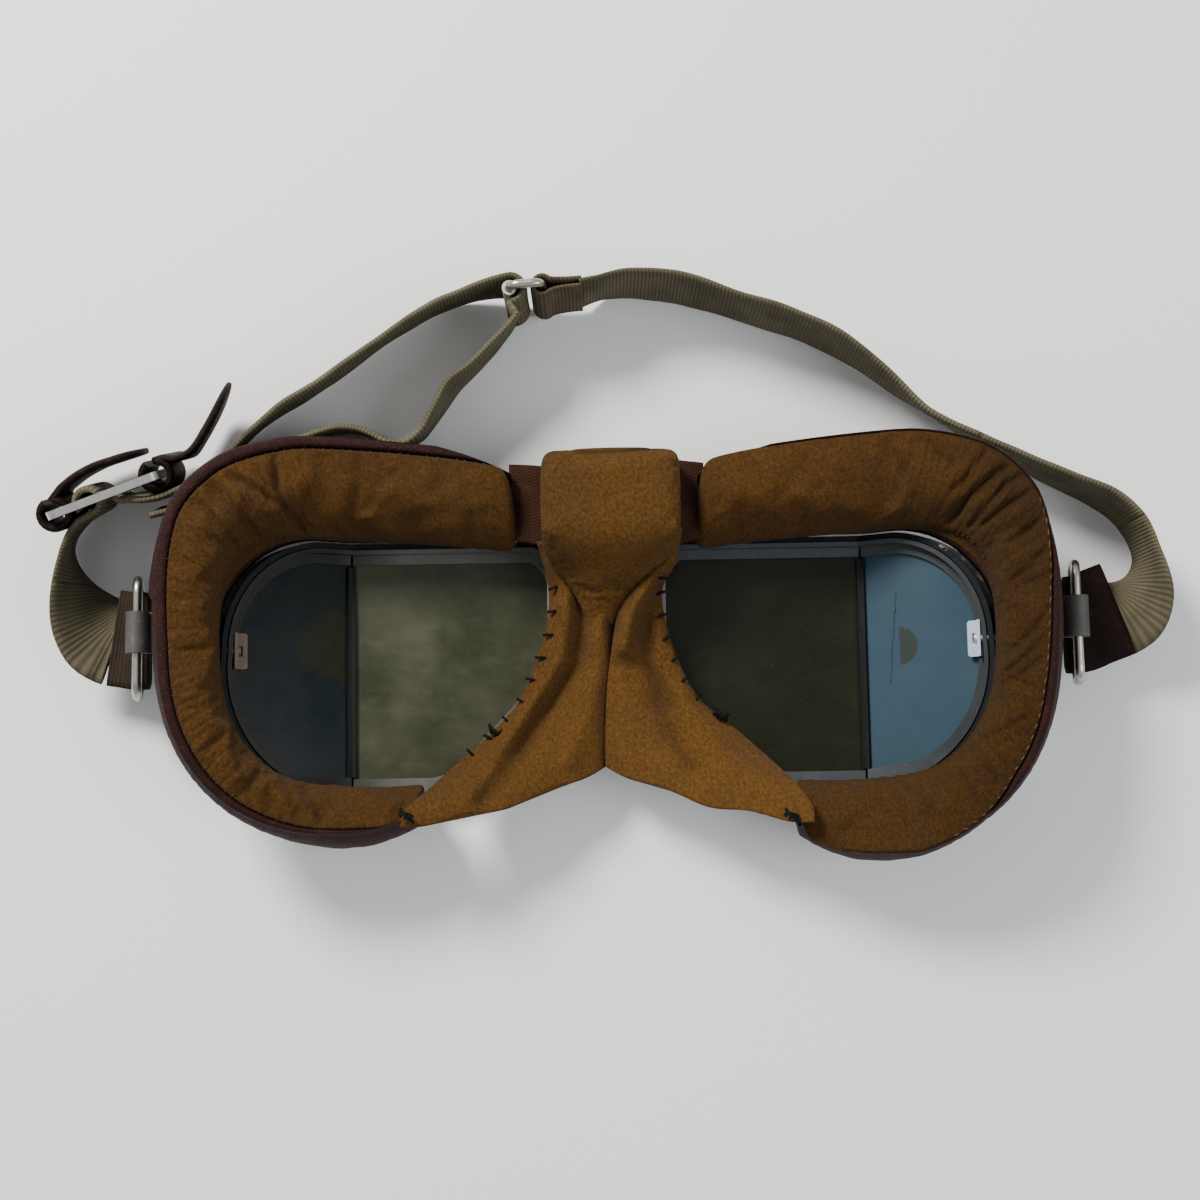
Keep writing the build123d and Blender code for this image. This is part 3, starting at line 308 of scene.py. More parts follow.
def suede_finish(name, colour, greasy):
    return new_finish(name, pile, {"Pile": colour, "Greasy": greasy, "Wear": 0.7}, PILE_RELIEF,
                      Sheen_Weight=0.03, Sheen_Roughness=0.5, Specular_IOR_Level=0.1)


suede = suede_finish("warm_suede", (0.068, 0.0305, 0.0060), (0.051, 0.0225, 0.0048))
chamois = suede_finish("nose_suede", (0.100, 0.046, 0.0090), (0.076, 0.033, 0.0065))
# painted shade: the suede darker towards the right temple and towards the bottom, the nose suede darker towards
# the left and towards the top
painted_shade_by_place(suede, 0.066, 0.090, 1.0, 0.60)
painted_shade_by_place(suede, -0.056, -0.036, 0.80, 1.0, axis=1)
painted_shade_by_place(chamois, -0.020, 0.002, 0.86, 1.0)
painted_shade_by_place(chamois, -0.006, 0.008, 1.0, 0.84, axis=1)
print("suede finishes", suede.name, chamois.name)

# %% Hide: oiled leather with a pebbled grain and fine cracks
hide, given, out = effect_group("oiled_hide", Skin=(0.03, 0.01, 0.01, 1), Rubbed=(0.1, 0.04, 0.03, 1),
                                Grain=1400.0, Shine=0.4)
here = object_place(hide)
pebbles = add(hide, "ShaderNodeTexVoronoi", [("feature", "DISTANCE_TO_EDGE")], Vector=here,
              Scale=given["Grain"])
pebble = span(hide, pebbles.outputs["Distance"], 0.0, 0.28)
folds = speckle(hide, here, 260, 5, 0.65)
tone = blend_colours(hide, span(hide, folds, 0.52, 0.72), given["Skin"], given["Rubbed"])
tone = shaded(hide, tone, span(hide, pebble, 0, 1, 0.6, 1.05))
give_out(hide, out, tone, plus(hide, times(hide, pebble, 0.4), folds, 0.6),
         plus(hide, given["Shine"], folds, 0.35))


def hide_finish(name, skin, rubbed, grain, shine, bump, gloss):
    return new_finish(name, hide, {"Skin": skin, "Rubbed": rubbed, "Grain": grain, "Shine": shine}, bump,
                      Specular_IOR_Level=gloss)


oxblood = hide_finish("oxblood_skirt", (0.022, 0.0055, 0.004), (0.046, 0.012, 0.008),
                      1500.0, 0.42, 0.00022, 0.12)
end_leather = hide_finish("strap_end_leather", (0.008, 0.0026, 0.0016), (0.026, 0.0075, 0.0042),
                          1300.0, 0.5, 0.0002, 0.12)
tab_leather = hide_finish("pull_tab_leather", (0.010, 0.0045, 0.0035), (0.040, 0.015, 0.009),
                          1200.0, 0.45, 0.0002, 0.10)
print("hide finishes", oxblood.name, end_leather.name, tab_leather.name)

# %% Webbing: ribs across the strap, read from the strap's own run and width in millimetres
weave, given, out = effect_group("cotton_webbing", Yarn=(0.13, 0.115, 0.075, 1), Soil=(0.05, 0.042, 0.028, 1),
                                 Rib=0.9, Column=1.6)
along, across, _ = axes_of(weave, add(weave, "ShaderNodeUVMap", [("uv_map", "run")]).outputs[0])
column_wave = waves(weave, sums(weave, "DIVIDE", across, given["Column"]), "COSINE")
rib_wave = waves(weave, sums(weave, "DIVIDE", along, given["Rib"]))
yarn_top = times(weave, span(weave, rib_wave, -1, 1), span(weave, column_wave, -1, 1, 0.62, 1))
here = object_place(weave)
fuzz = speckle(weave, here, 3200, 3, 0.7)
stain = speckle(weave, here, 60, 4, 0.6)
relief = plus(weave, times(weave, yarn_top, 0.75), fuzz, 0.3)
tone = blend_colours(weave, span(weave, stain, 0.42, 0.66), given["Yarn"], given["Soil"])
# painted shade in the weave's grooves: the colour darkens where the relief is low
tone = shaded(weave, tone, span(weave, relief, 0.1, 0.95, 0.62, 1.2))
give_out(weave, out, tone, relief, span(weave, fuzz, 0.2, 0.8, 0.8, 0.98))


def webbing_finish(name, yarn, darkening):
    return new_finish(name, weave, {"Yarn": yarn, "Soil": darkening, "Rib": 0.85, "Column": 0.75}, 0.00022,
                      Specular_IOR_Level=0.2)


webbing = webbing_finish("olive_webbing", (0.128, 0.112, 0.066), (0.078, 0.065, 0.038))
hem_webbing = webbing_finish("brown_hem", (0.125, 0.094, 0.056), (0.075, 0.054, 0.032))
soiled_hem = webbing_finish("soiled_hem", (0.036, 0.024, 0.014), (0.018, 0.012, 0.008))
print("webbing finishes", webbing.name, hem_webbing.name, soiled_hem.name)

# %% Herringbone tape: diagonal ribs that turn over at each column
chevron, given, out = effect_group("herringbone_tape", Yarn=(0.09, 0.04, 0.028, 1), Pitch=0.55, Column=3.2)
along, across, _ = axes_of(chevron, add(chevron, "ShaderNodeUVMap", [("uv_map", "run")]).outputs[0])
slope = plus(chevron, along, sums(chevron, "PINGPONG", across, given["Column"]))
rib_wave = waves(chevron, sums(chevron, "DIVIDE", slope, given["Pitch"]))
fuzz = speckle(chevron, object_place(chevron), 2600, 3, 0.7)
relief = plus(chevron, span(chevron, rib_wave, -1, 1, 0, 0.8), fuzz, 0.25)
tone = shaded(chevron, given["Yarn"], span(chevron, relief, 0.1, 1.0, 0.20, 2.1))
give_out(chevron, out, tone, relief, span(chevron, fuzz, 0.2, 0.8, 0.75, 0.95))
tape = new_finish("brown_tape", chevron, {"Yarn": (0.052, 0.020, 0.010), "Pitch": 0.72, "Column": 2.4},
                  0.0005, Specular_IOR_Level=0.15)
print("tape finish", tape.name)

# %% Worn metal and paint: blotches, dust and fine scratches over any base colour
wear, given, out = effect_group("worn_metal", Base=(0.1, 0.11, 0.12, 1), Marked=(0.2, 0.19, 0.17, 1),
                                Marks=0.5, Smooth=0.35)
here = object_place(wear)
blotch = speckle(wear, here, 160, 5, 0.65)
lines = speckle(wear, here, 900, 2, 0.5, (0.15, 1, 1))
cross_lines = speckle(wear, here, 1100, 2, 0.5, (1, 0.12, 1))
scratch = sums(wear, "MAXIMUM", span(wear, lines, 0.66, 0.72), span(wear, cross_lines, 0.68, 0.74))
mark = times(wear, sums(wear, "MAXIMUM", span(wear, blotch, 0.52, 0.7), scratch), given["Marks"])
give_out(wear, out, blend_colours(wear, mark, given["Base"], given["Marked"]),
         sums(wear, "SUBTRACT", blotch, times(wear, scratch, 0.5)), plus(wear, given["Smooth"], blotch, 0.3))


def metal_finish(name, base, marked, marks, smooth, metallic, gloss=0.5):
    return new_finish(name, wear, {"Base": base, "Marked": marked, "Marks": marks, "Smooth": smooth},
                      0.00003, Metallic=metallic, Specular_IOR_Level=gloss)


# name, base, marks' colour, share of marks, least roughness, metallic and gloss
rim_paint = metal_finish("rim_paint", (0.056, 0.063, 0.068), (0.10, 0.105, 0.105), 0.4, 0.32, 0.0, 0.22)
# painted light: the left rim's copy of the same paint is lighter than the right one's
lit_rim_paint_left = metal_finish("lit_rim_paint_left", (0.105, 0.107, 0.095), (0.15, 0.15, 0.13), 0.4, 0.32, 0.0, 0.16)
divider_paint = metal_finish("divider_paint", (0.010, 0.012, 0.011), (0.022, 0.024, 0.022), 0.4, 0.4, 0.0, 0.1)
# the bezel's near black is its paint and painted shade of the dark gap between the suede and the glass
bezel_paint = metal_finish("bezel_paint", (0.006, 0.007, 0.008), (0.03, 0.03, 0.029), 0.3, 0.5, 0.0, 0.15)
hinge_steel = metal_finish("hinge_steel", (0.22, 0.22, 0.21), (0.10, 0.08, 0.06), 0.6, 0.35, 1.0)
clip_bright = metal_finish("clip_bright", (0.50, 0.60, 0.70), (0.25, 0.28, 0.32), 0.5, 0.25, 0.6)
clip_dull = metal_finish("clip_dull", (0.10, 0.062, 0.045), (0.17, 0.13, 0.11), 0.7, 0.45, 0.0)
bracket_grey = metal_finish("bracket_grey", (0.07, 0.068, 0.062), (0.13, 0.12, 0.11), 0.6, 0.4, 0.3)
plated_wire = metal_finish("plated_wire", (0.48, 0.46, 0.41), (0.16, 0.14, 0.11), 0.5, 0.16, 1.0)
buckle_plate = metal_finish("buckle_plate", (0.62, 0.61, 0.58), (0.28, 0.25, 0.22), 0.6, 0.2, 1.0)
# painted shade: each rim's paint darker towards its temple
painted_shade_by_place(lit_rim_paint_left, -0.062, -0.046, 0.14, 1.0)
painted_shade_by_place(rim_paint, 0.062, 0.078, 1.0, 0.45)
print("metal finishes made")

# %% [markdown]
# ## Paint, steel and glass on the CAD parts
#
# The rims, hinge, clips, brackets, rings and buckle have their true shapes in CAD, so only
# their material slots change. The four panes differ: one is hazed and pale, one is dark and
# clear, and the two side panes are teal and steel blue, with a scratch and a chip on the blue one.
# The teal is a painted reflection over the glass's own dark olive.

# %% Metal parts take their finishes
# each part's finish on the right and on the left cup
CUP_METAL = {
    "frame": (rim_paint, lit_rim_paint_left), "divider": (divider_paint, divider_paint),
    "bezel": (bezel_paint, bezel_paint), "hinge_leaf": (hinge_steel, hinge_steel),
    "hinge_rivets": (hinge_steel, hinge_steel), "bracket_rivets": (hinge_steel, hinge_steel),
    "ring_bracket": (bracket_grey, bracket_grey), "strap_ring": (plated_wire, plated_wire),
    "temple_clip": (clip_bright, clip_dull), "clip_screw": (clip_bright, clip_dull)}
OTHER_METAL = {"hinge_pin": hinge_steel, "tab_buckle": buckle_plate, "adjuster_loop": plated_wire,
               "adjuster_roller": buckle_plate}


def refinish(node, finish):
    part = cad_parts[node]
    part.data.materials.clear()
    part.data.materials.append(finish)


for part, (right_finish, left_finish) in CUP_METAL.items():
    refinish(f"right_{part}", right_finish)
    refinish(f"left_{part}", left_finish)
for node, finish in OTHER_METAL.items():
    refinish(node, finish)
print(len(CUP_METAL) * 2 + len(OTHER_METAL), "metal parts finished")

# %% Glass: haze, smears and dust over a tinted pane
DUST_COLOUR = (0.16, 0.16, 0.13)

haze, given, out = effect_group("hazed_pane", Tint=(0.05, 0.05, 0.04, 1), Film=(0.2, 0.21, 0.16, 1),
                                Cover=0.5, Smooth=0.08)
here = object_place(haze)
clouds = speckle(haze, here, 45, 6, 0.62)
smears = speckle(haze, here, 260, 4, 0.6, (0.3, 1, 1))
dust = speckle(haze, here, 2500, 1, 0.5)
film = plus(haze, span(haze, clouds, 0.36, 0.66), span(haze, smears, 0.5, 0.75), 0.35)
film = sums(haze, "MULTIPLY", film, given["Cover"], True)
tone = blend_colours(haze, film, given["Tint"], given["Film"])
tone = blend_colours(haze, times(haze, span(haze, dust, 0.74, 0.8), 0.25), tone, DUST_COLOUR)
give_out(haze, out, tone, clouds, plus(haze, given["Smooth"], film, 0.3))


def pane_finish(name, tint, film, cover, smooth, gloss):
    return new_finish(name, haze, {"Tint": tint, "Film": film, "Cover": cover, "Smooth": smooth}, 0.00001,
                      Transmission_Weight=0.05, IOR=1.5, Specular_IOR_Level=gloss)


def near_point(tree, x, y, radius, squeeze=1.0, ragged=0.25):
    """1 within a ragged patch about a point given in millimetres, 0 outside; and the way off along x."""
    here = object_place(tree)
    place = axes_of(tree, here)
    dx, dy = (times(tree, sums(tree, "SUBTRACT", place[axis], centre), scale)
              for axis, centre, scale in ((0, (x + HINGE_LINE[0]) / 1000, 1000 / radius),
                                          (1, (y + HINGE_LINE[1]) / 1000, 1000 / radius / squeeze)))
    far = sums(tree, "SQRT", plus(tree, times(tree, dx, dx), times(tree, dy, dy)))
    rough = times(tree, sums(tree, "SUBTRACT", speckle(tree, here, 900, 2, 0.5), 0.5), ragged * 2)
    return span(tree, plus(tree, far, rough), 0.92, 1.05, 1.0, 0.0), dx


def tint_where(finish, share, colour):
    """Lays a colour over a finish where share is 1."""
    tree, socket, before = base_colour(finish)
    feed(tree, blend_colours(tree, share, before, colour), socket)


# name, tint, film, cover of the film, least roughness and gloss
pane_left = pane_finish("hazed_left_pane", (0.028, 0.030, 0.0150), (0.058, 0.060, 0.034), 0.95, 0.25, 0.2)
pane_right = pane_finish("dark_right_pane", (0.0080, 0.0095, 0.0028), (0.012, 0.013, 0.005), 0.8, 0.14, 0.2)
# the teal tint is a painted reflection over the dark olive glass
pane_left_side = pane_finish("teal_reflection_side_pane", (0.0050, 0.0100, 0.0115), (0.0066, 0.0090, 0.0078),
                             0.8, 0.14, 0.10)
pane_right_side = pane_finish("blue_side_pane", (0.034, 0.064, 0.088), (0.038, 0.070, 0.094),
                              0.8, 0.25, 0.12)
for node, finish in (("left_front_lens", pane_left), ("right_front_lens", pane_right),
                     ("left_side_lens", pane_left_side), ("right_side_lens", pane_right_side)):
    refinish(node, finish)
print("panes finished")

# %% Marks: olive patches on the teal pane, and a chip and a scratch on the blue one
# the olive patches are the glass's own colour, where the painted teal reflection gives way
for x, y, radius in ((-60.0, -20.0, 11.0), (-54.0, -26.0, 8.0)):
    olive, _ = near_point(pane_left_side.node_tree, x, y, radius, 0.75, 0.5)
    tint_where(pane_left_side, times(pane_left_side.node_tree, olive, 0.8), (0.0140, 0.0135, 0.0050))

blue = pane_right_side.node_tree
here = object_place(blue)
chip, offset = near_point(blue, 66.4, -22.3, 4.2, 1.05, 0.08)
broken_side = plus(blue, offset, speckle(blue, here, 1300, 2, 0.6), 0.3)
chip = times(blue, chip, span(blue, broken_side, 0.24, 0.30))
tint_where(pane_right_side, chip, (0.034, 0.042, 0.036))

# the scratch's place, slope, wander and half widths, in metres over the plan
SCRATCH_X, SCRATCH_Y, SCRATCH_SLOPE, SCRATCH_WANDER = 0.0661, -0.0182, 0.085, 0.0016
SCRATCH_CORE, SCRATCH_EDGE = 0.00004, 0.00016
place_x, place_y, _ = axes_of(blue, here)
wander = times(blue, sums(blue, "SUBTRACT", speckle(blue, here, 420, 4, 0.7), 0.5), SCRATCH_WANDER)
slope = times(blue, plus(blue, place_y, -SCRATCH_Y), SCRATCH_SLOPE)
off_line = sums(blue, "SUBTRACT", sums(blue, "SUBTRACT", place_x, SCRATCH_X), slope)
off_line = sums(blue, "ABSOLUTE", plus(blue, off_line, wander))
scratch = span(blue, off_line, SCRATCH_CORE, SCRATCH_EDGE, 0.75, 0.0)
in_reach = times(blue, span(blue, place_y, -0.0292, -0.0284), span(blue, place_y, -0.0085, -0.0074, 1.0, 0.0))
tint_where(pane_right_side, times(blue, scratch, in_reach), (0.012, 0.016, 0.014))
print("side panes marked")

# %% Marks: bare spots in the left rim's paint, and dust on the right rim and bezel
for x, y, radius in ((-42.5, -1.4, 0.7), (-39.3, -1.7, 0.6), (-18.3, -3.7, 1.1), (-16.4, -4.6, 0.5)):
    spot, _ = near_point(lit_rim_paint_left.node_tree, x, y, radius, 0.7, 0.5)
    tint_where(lit_rim_paint_left, spot, (0.21, 0.145, 0.035))
for x, y, radius in ((76.6, -0.2, 1.4), (84.5, -7.6, 1.6), (80.6, -3.2, 0.9)):
    for finish in (rim_paint, bezel_paint):
        spot, _ = near_point(finish.node_tree, x, y, radius, 0.8, 1.2)
        tint_where(finish, spot, (0.16, 0.155, 0.11))
print("rims marked")

# %% [markdown]
# ## Shared mesh helpers
#
# Most soft pieces are skins over a row of closed rings. One helper joins the rings, one
# smooths a short table of rows into many, and one tells how near a drawn crease is.


# %% Helpers for skins, rows and creases
# a face with this many corners or more is the flat cap of a skin, and isn't shaded smooth
CAP_CORNERS = 5


def smooth_rows(rows, steps):
    """Rows of numbers joined by smooth curves, with steps new rows in each gap."""
    done = []
    for i in range(len(rows) - 1):
        around = rows[max(i - 1, 0)], rows[i], rows[i + 1], rows[min(i + 2, len(rows) - 1)]
        for k in range(steps):
            t = k / steps
            done.append(tuple(0.5 * (2 * b + (c - a) * t + (2 * a - 5 * b + 4 * c - d) * t * t
                                     + (3 * b - a - 3 * c + d) * t ** 3) for a, b, c, d in zip(*around)))
    done.append(tuple(rows[-1]))
    return done


def skin_of(rings):
    """Points and faces over closed rings, with a flat cap at each end."""
    count = len(rings[0])
    points = [p for ring in rings for p in ring]
    faces = []
    for i in range(len(rings) - 1):
        for k in range(count):
            n = (k + 1) % count
            faces.append((i * count + k, i * count + n, (i + 1) * count + n, (i + 1) * count + k))
    last = (len(rings) - 1) * count
    faces.append(tuple(range(count))[::-1])
    faces.append(tuple(last + k for k in range(count)))
    return points, faces


def finished_piece(name, rings, finish, run=None):
    """A smooth skin over rings, with its run and width in millimetres stored as a map where given."""
    mesh = bpy.data.meshes.new(name)
    points, faces = skin_of(rings)
    mesh.from_pydata([tuple(p) for p in points], [], faces)
    if run:
        layer = mesh.uv_layers.new(name="run")
        for loop in mesh.loops:
            layer.data[loop.index].uv = run[loop.vertex_index]
    work = bmesh.new()
    work.from_mesh(mesh)
    bmesh.ops.recalc_face_normals(work, faces=work.faces)
    work.to_mesh(mesh)
    work.free()
    for face in mesh.polygons:
        face.use_smooth = len(face.vertices) < CAP_CORNERS
    mesh.materials.append(finish)
    piece = bpy.data.objects.new(name, mesh)
    bpy.context.scene.collection.objects.link(piece)
    return piece


def smoother(piece, name):
    """A modifier that divides a piece smoothly once."""
    modifier = piece.modifiers.new(name, "SUBSURF")
    modifier.levels = modifier.render_levels = 1
    return modifier


def nearness(x, y, line, width):
    """1 on a drawn line, falling to 0 a few widths away."""
    best = inf
    for (ax, ay), (bx, by) in zip(line, line[1:]):
        dx, dy = bx - ax, by - ay
        t = max(0, min(1, ((x - ax) * dx + (y - ay) * dy) / (dx * dx + dy * dy)))
        best = min(best, hypot(x - ax - t * dx, y - ay - t * dy))
    return exp(-(best / width) ** 2)


def arc_points(a, b, rise, count, inset=0.0):
    """Points of the arc from a to b that rises to its left, or of one that lies inset from it."""
    chord = hypot(b[0] - a[0], b[1] - a[1])
    half = 2 * atan2(2 * rise, chord)
    radius = chord / 2 / sin(half)
    left = (-(b[1] - a[1]) / chord, (b[0] - a[0]) / chord)
    sink = radius * cos(half)
    centre = ((a[0] + b[0]) / 2 - left[0] * sink, (a[1] + b[1]) / 2 - left[1] * sink)
    start = atan2(left[1], left[0]) + half
    return [(centre[0] + (radius - inset) * cos(start - 2 * half * i / (count - 1)),
             centre[1] + (radius - inset) * sin(start - 2 * half * i / (count - 1))) for i in range(count)]


# %% [markdown]
# ## The two cushions
#
# Each cushion is a C of felt under a suede strip, laced to the rim and sewn to a leather
# skirt. It could be sculpted by hand, but its section changes in a steady way, so it is
# lofted from upright sections. The suede then swells in a short cloth run under pressure,
# pinned along its seams, and creases are pressed in where the corners gather.

# %% Sections of a cushion, from the brow round the temple to the nose
# where the side pane bends back and by how much, and the pad's extent in the plan
BEND_X, PANE_TILT = 60.3, radians(34)
PAD_HALF_WIDTH, PAD_TOP_Y, PAD_HEIGHT = 96.6, 24.2, 89.2
# inner x, inner y, seam x, seam y, foot along the section, climb, crown and leather roll:
# the first four as shares of the pad's half width and height
PAD_ROWS = (
    (0.2020, 0.2750, 0.2190, 0.0600, 0.234, 0.000, 0.850, 0.200),
    (0.3310, 0.2560, 0.3370, 0.0340, 0.140, 0.060, 1.000, 0.200),
    (0.5070, 0.2390, 0.5150, 0.0110, 0.060, 0.140, 1.050, 0.200),
    (0.6420, 0.2300, 0.6780, 0.0010, 0.023, 0.300, 1.050, 0.220),
    (0.7014, 0.2292, 0.7550, 0.0097, 0.015, 0.417, 0.995, 0.254),
    (0.7509, 0.2345, 0.8214, 0.0299, -0.028, 0.543, 0.930, 0.292),
    (0.7869, 0.2441, 0.8703, 0.0549, -0.076, 0.656, 0.882, 0.323),
    (0.8180, 0.2629, 0.9142, 0.0929, -0.105, 0.760, 0.825, 0.351),
    (0.8399, 0.2850, 0.9464, 0.1326, -0.116, 0.836, 0.770, 0.372),
    (0.8570, 0.3130, 0.9720, 0.1820, -0.102, 0.900, 0.720, 0.390),
    (0.8690, 0.3587, 0.9907, 0.2625, -0.033, 0.961, 0.673, 0.408),
    (0.8750, 0.4080, 1.0000, 0.3500, 0.052, 1.000, 0.640, 0.420),
    (0.8781, 0.4612, 1.0021, 0.4499, 0.127, 1.008, 0.624, 0.421),
    (0.8775, 0.5220, 0.9985, 0.5528, 0.175, 0.993, 0.617, 0.421),
    (0.8730, 0.5830, 0.9900, 0.6400, 0.218, 0.960, 0.620, 0.420),
    (0.8648, 0.6394, 0.9728, 0.7196, 0.226, 0.910, 0.642, 0.410),
    (0.8482, 0.6955, 0.9436, 0.7956, 0.228, 0.827, 0.668, 0.393),
    (0.8264, 0.7413, 0.9086, 0.8549, 0.234, 0.726, 0.689, 0.373),
    (0.7977, 0.7811, 0.8660, 0.9044, 0.247, 0.614, 0.706, 0.352),
    (0.7622, 0.8146, 0.8156, 0.9437, 0.266, 0.490, 0.716, 0.331),
    (0.7082, 0.8405, 0.7491, 0.9760, 0.268, 0.355, 0.722, 0.313),
    (0.6310, 0.8530, 0.6630, 0.9940, 0.284, 0.220, 0.720, 0.300),
    (0.5070, 0.8580, 0.5200, 0.9900, 0.324, 0.100, 0.700, 0.280),
    (0.4250, 0.8530, 0.4360, 0.9640, 0.450, 0.040, 0.660, 0.260))
# steps between two rows, points over the suede of each section, and how far the seam sags
PAD_STEPS, TOP_COUNT = 7, 21
SAG = {"right": 2.4, "left": -2.0}
# heights of the inner edge, the seam, the knee and the foot, how far the first two follow the
# climb, how high the suede rounds up, and how deep under it the inner wall starts
EDGE_HEIGHT, EDGE_DROP = 14.0, 3.6
SEAM_HEIGHT, SEAM_CLIMB = 24.5, 12.0
KNEE_HEIGHT, KNEE_GAP, FOOT_HEIGHT = 6.8, 0.25, 4.6
CROWN_RISE, WALL_INSET = 4.2, 2.0


def height_over(x, level):
    """Height of a level above the front pane, which climbs beside the side pane past the bend."""
    return max(level, level / cos(PANE_TILT) + (x - BEND_X) * tan(PANE_TILT))


# how far the suede's outer seam lies outside its row, by share of the way round, in millimetres
SEAM_SHIFT = {
    "right": ((0, 0.3), (0.3, 0.5), (0.42, 0.2), (0.50, -1.5), (0.62, -2.6), (0.74, -2.2), (0.82, 0.2),
              (0.90, 2.0), (1, 1.6)),
    "left": ((0, -0.9), (0.2, -1.9), (0.4, -2.2), (0.55, -2.9), (0.7, -2.6), (0.85, -1.9), (0.95, -1.0),
             (1, -0.4))}


def seam_shift(side, share):
    for (a, low), (b, high) in zip(SEAM_SHIFT[side], SEAM_SHIFT[side][1:]):
        if share <= b:
            return low + (high - low) * (share - a) / (b - a)


def pad_section(row, sag):
    """A section's place and direction in the plan, and its corners as way along it and height."""
    inner_x, inner_y, seam_x, seam_y, foot, climb, crown, roll = row
    x, y = inner_x * PAD_HALF_WIDTH, PAD_TOP_Y - inner_y * PAD_HEIGHT
    drop = seam_y * PAD_HEIGHT + sag * max(0, 2 * seam_y - 1)
    dx, dy = seam_x * PAD_HALF_WIDTH - x, PAD_TOP_Y - drop - y
    length = hypot(dx, dy)
    edge = (0, height_over(x, 0) + EDGE_HEIGHT - EDGE_DROP * climb)
    seam = (length, SEAM_HEIGHT + SEAM_CLIMB * climb)
    foot_x = x + foot * dx
    knee = (foot * length, height_over(foot_x, KNEE_HEIGHT) + KNEE_GAP)
    low = (foot * length, height_over(foot_x, 0) + FOOT_HEIGHT)
    return (x, y), (dx / length, dy / length), edge, seam, knee, low, CROWN_RISE * crown, roll


def cushion_ring(section):
    """Closed ring of a cushion: over the suede, down the felt and back up the inner wall."""
    _, _, edge, seam, knee, _, crown, _, _ = section
    over = arc_points(edge, seam, crown, TOP_COUNT)
    heel = (knee[0] - KNEE_GAP, knee[1] + KNEE_GAP)
    under = arc_points(edge, seam, crown, 9, WALL_INSET)[-1]
    back = [tuple(a + (b - a) * t for a, b in zip(under, heel)) for t in (0.05, 0.35, 0.7)]
    lip = (0.1, edge[1] - 1.5)
    wall = [tuple(a + (b - a) * t for a, b in zip(heel, lip)) for t in (0, 0.3, 0.6, 0.9)]
    return over + back + wall


def pad_sections(side):
    """All sections of one cushion, with the seam shifted to where it lies in the photograph."""
    done = []
    rows = smooth_rows(PAD_ROWS, PAD_STEPS)
    for index, row in enumerate(rows):
        place, way, edge, seam, knee, low, crown, roll = pad_section(row, SAG[side])
        shift = seam_shift(side, index / (len(rows) - 1))
        outer = (seam[0] + max(0, shift), seam[1] - 0.5 * max(0, shift))
        seam = (seam[0] + shift, seam[1] - (0.5 if shift > 0 else 0.45) * shift)
        done.append((place, way, edge, seam, knee, low, crown, roll, outer))
    return done


PAD_SECTIONS = {side: pad_sections(side) for side in HAND}
print("sections in each cushion", len(PAD_SECTIONS["right"]))

# %% Creases drawn on the suede, in millimetres over the plan
# each one's line, depth and width
CREASES = {
    "left": [
        (((-72.4, 21.6), (-71.8, 13.4), (-69.6, 7.8), (-67.8, 5.3)), 1.5, 1.1),
        (((-54.2, 21.9), (-54.5, 14.4), (-55.5, 10.0), (-57.3, 7.0)), 0.9, 1.3),
        (((-47.4, 16.1), (-52.4, 10.0), (-56.7, 6.3)), 0.6, 1.4),
        (((-87.5, 16.2), (-81.3, 8.0), (-76.4, 2.3)), 1.0, 1.5),
        (((-81.3, 15.5), (-75.8, 12.3), (-70.8, 9.1)), 0.9, 1.3),
        (((-89.3, 10.0), (-85.0, 6.8), (-81.3, 0.6)), 0.7, 1.3),
        (((-78.0, -50.8), (-80.4, -55.6), (-82.2, -58.5)), 0.8, 1.2),
        (((-67.1, -52.2), (-63.5, -57.0), (-62.6, -60.1)), 0.9, 1.1),
        (((-76.2, -49.0), (-77.4, -53.2), (-78.0, -57.4)), 0.8, 1.1),
        (((-71.4, -50.9), (-68.9, -54.0), (-67.7, -57.6)), 0.6, 1.1)],
    "right": [
        (((44.7, 18.2), (45.8, 14.5), (47.6, 12.0)), 0.7, 1.4),
        (((62.1, 22.3), (64.4, 17.9), (67.3, 13.5), (67.8, 9.7)), 0.6, 1.3),
        (((70.1, 22.2), (73.1, 18.4), (76.0, 15.8)), 0.6, 1.1),
        (((87.1, 14.4), (82.6, 11.3), (78.8, 7.7), (76.2, 4.0)), 1.3, 1.2),
        (((92.6, 13.7), (86.9, 10.6), (83.7, 7.0), (80.5, 2.7)), 1.0, 1.0),
        (((94.9, 10.5), (89.9, 7.5), (85.5, 5.1), (82.9, 2.6)), 0.8, 0.9),
        (((84.3, 21.3), (83.5, 18.2), (79.6, 13.3), (76.4, 10.2)), 0.8, 1.1),
        (((95.9, 4.9), (92.1, 1.2), (87.0, -2.4)), 0.7, 0.9),
        (((96.9, -14.3), (91.1, -21.5), (85.4, -26.9)), 0.6, 0.9),
        (((96.1, -19.2), (90.9, -25.8), (85.9, -30.0)), 0.6, 0.9),
        (((94.6, -25.3), (89.5, -30.1), (84.5, -33.0)), 0.5, 0.9),
        (((96.2, -1.9), (91.1, -8.0), (86.7, -11.0)), 0.5, 0.9),
        (((89.1, -39.8), (84.1, -42.7), (80.5, -43.9)), 0.5, 0.9),
        (((64.4, -53.2), (67.3, -56.9), (68.3, -60.5)), 0.6, 1.2),
        (((78.5, -46.2), (80.2, -50.5), (82.5, -53.6)), 0.6, 1.2)]}
# lines along which the suede is greasy from hands
GREASE = {"left": ((-60, 23), (-25, 21)), "right": ((60, 20), (88, 12), (95, -5))}


def crease_depth(side, x, y):
    return sum(depth * nearness(x, y, line, width * 0.85) for line, depth, width in CREASES[side])


print("creases", {side: len(lines) for side, lines in CREASES.items()})


# %% Cloth run: the suede swells under pressure between its pinned seams
# the cloth is simulated at ten times its size, where the solver is steadier
CLOTH_SCALE, CLOTH_FRAMES = 10.0, 16


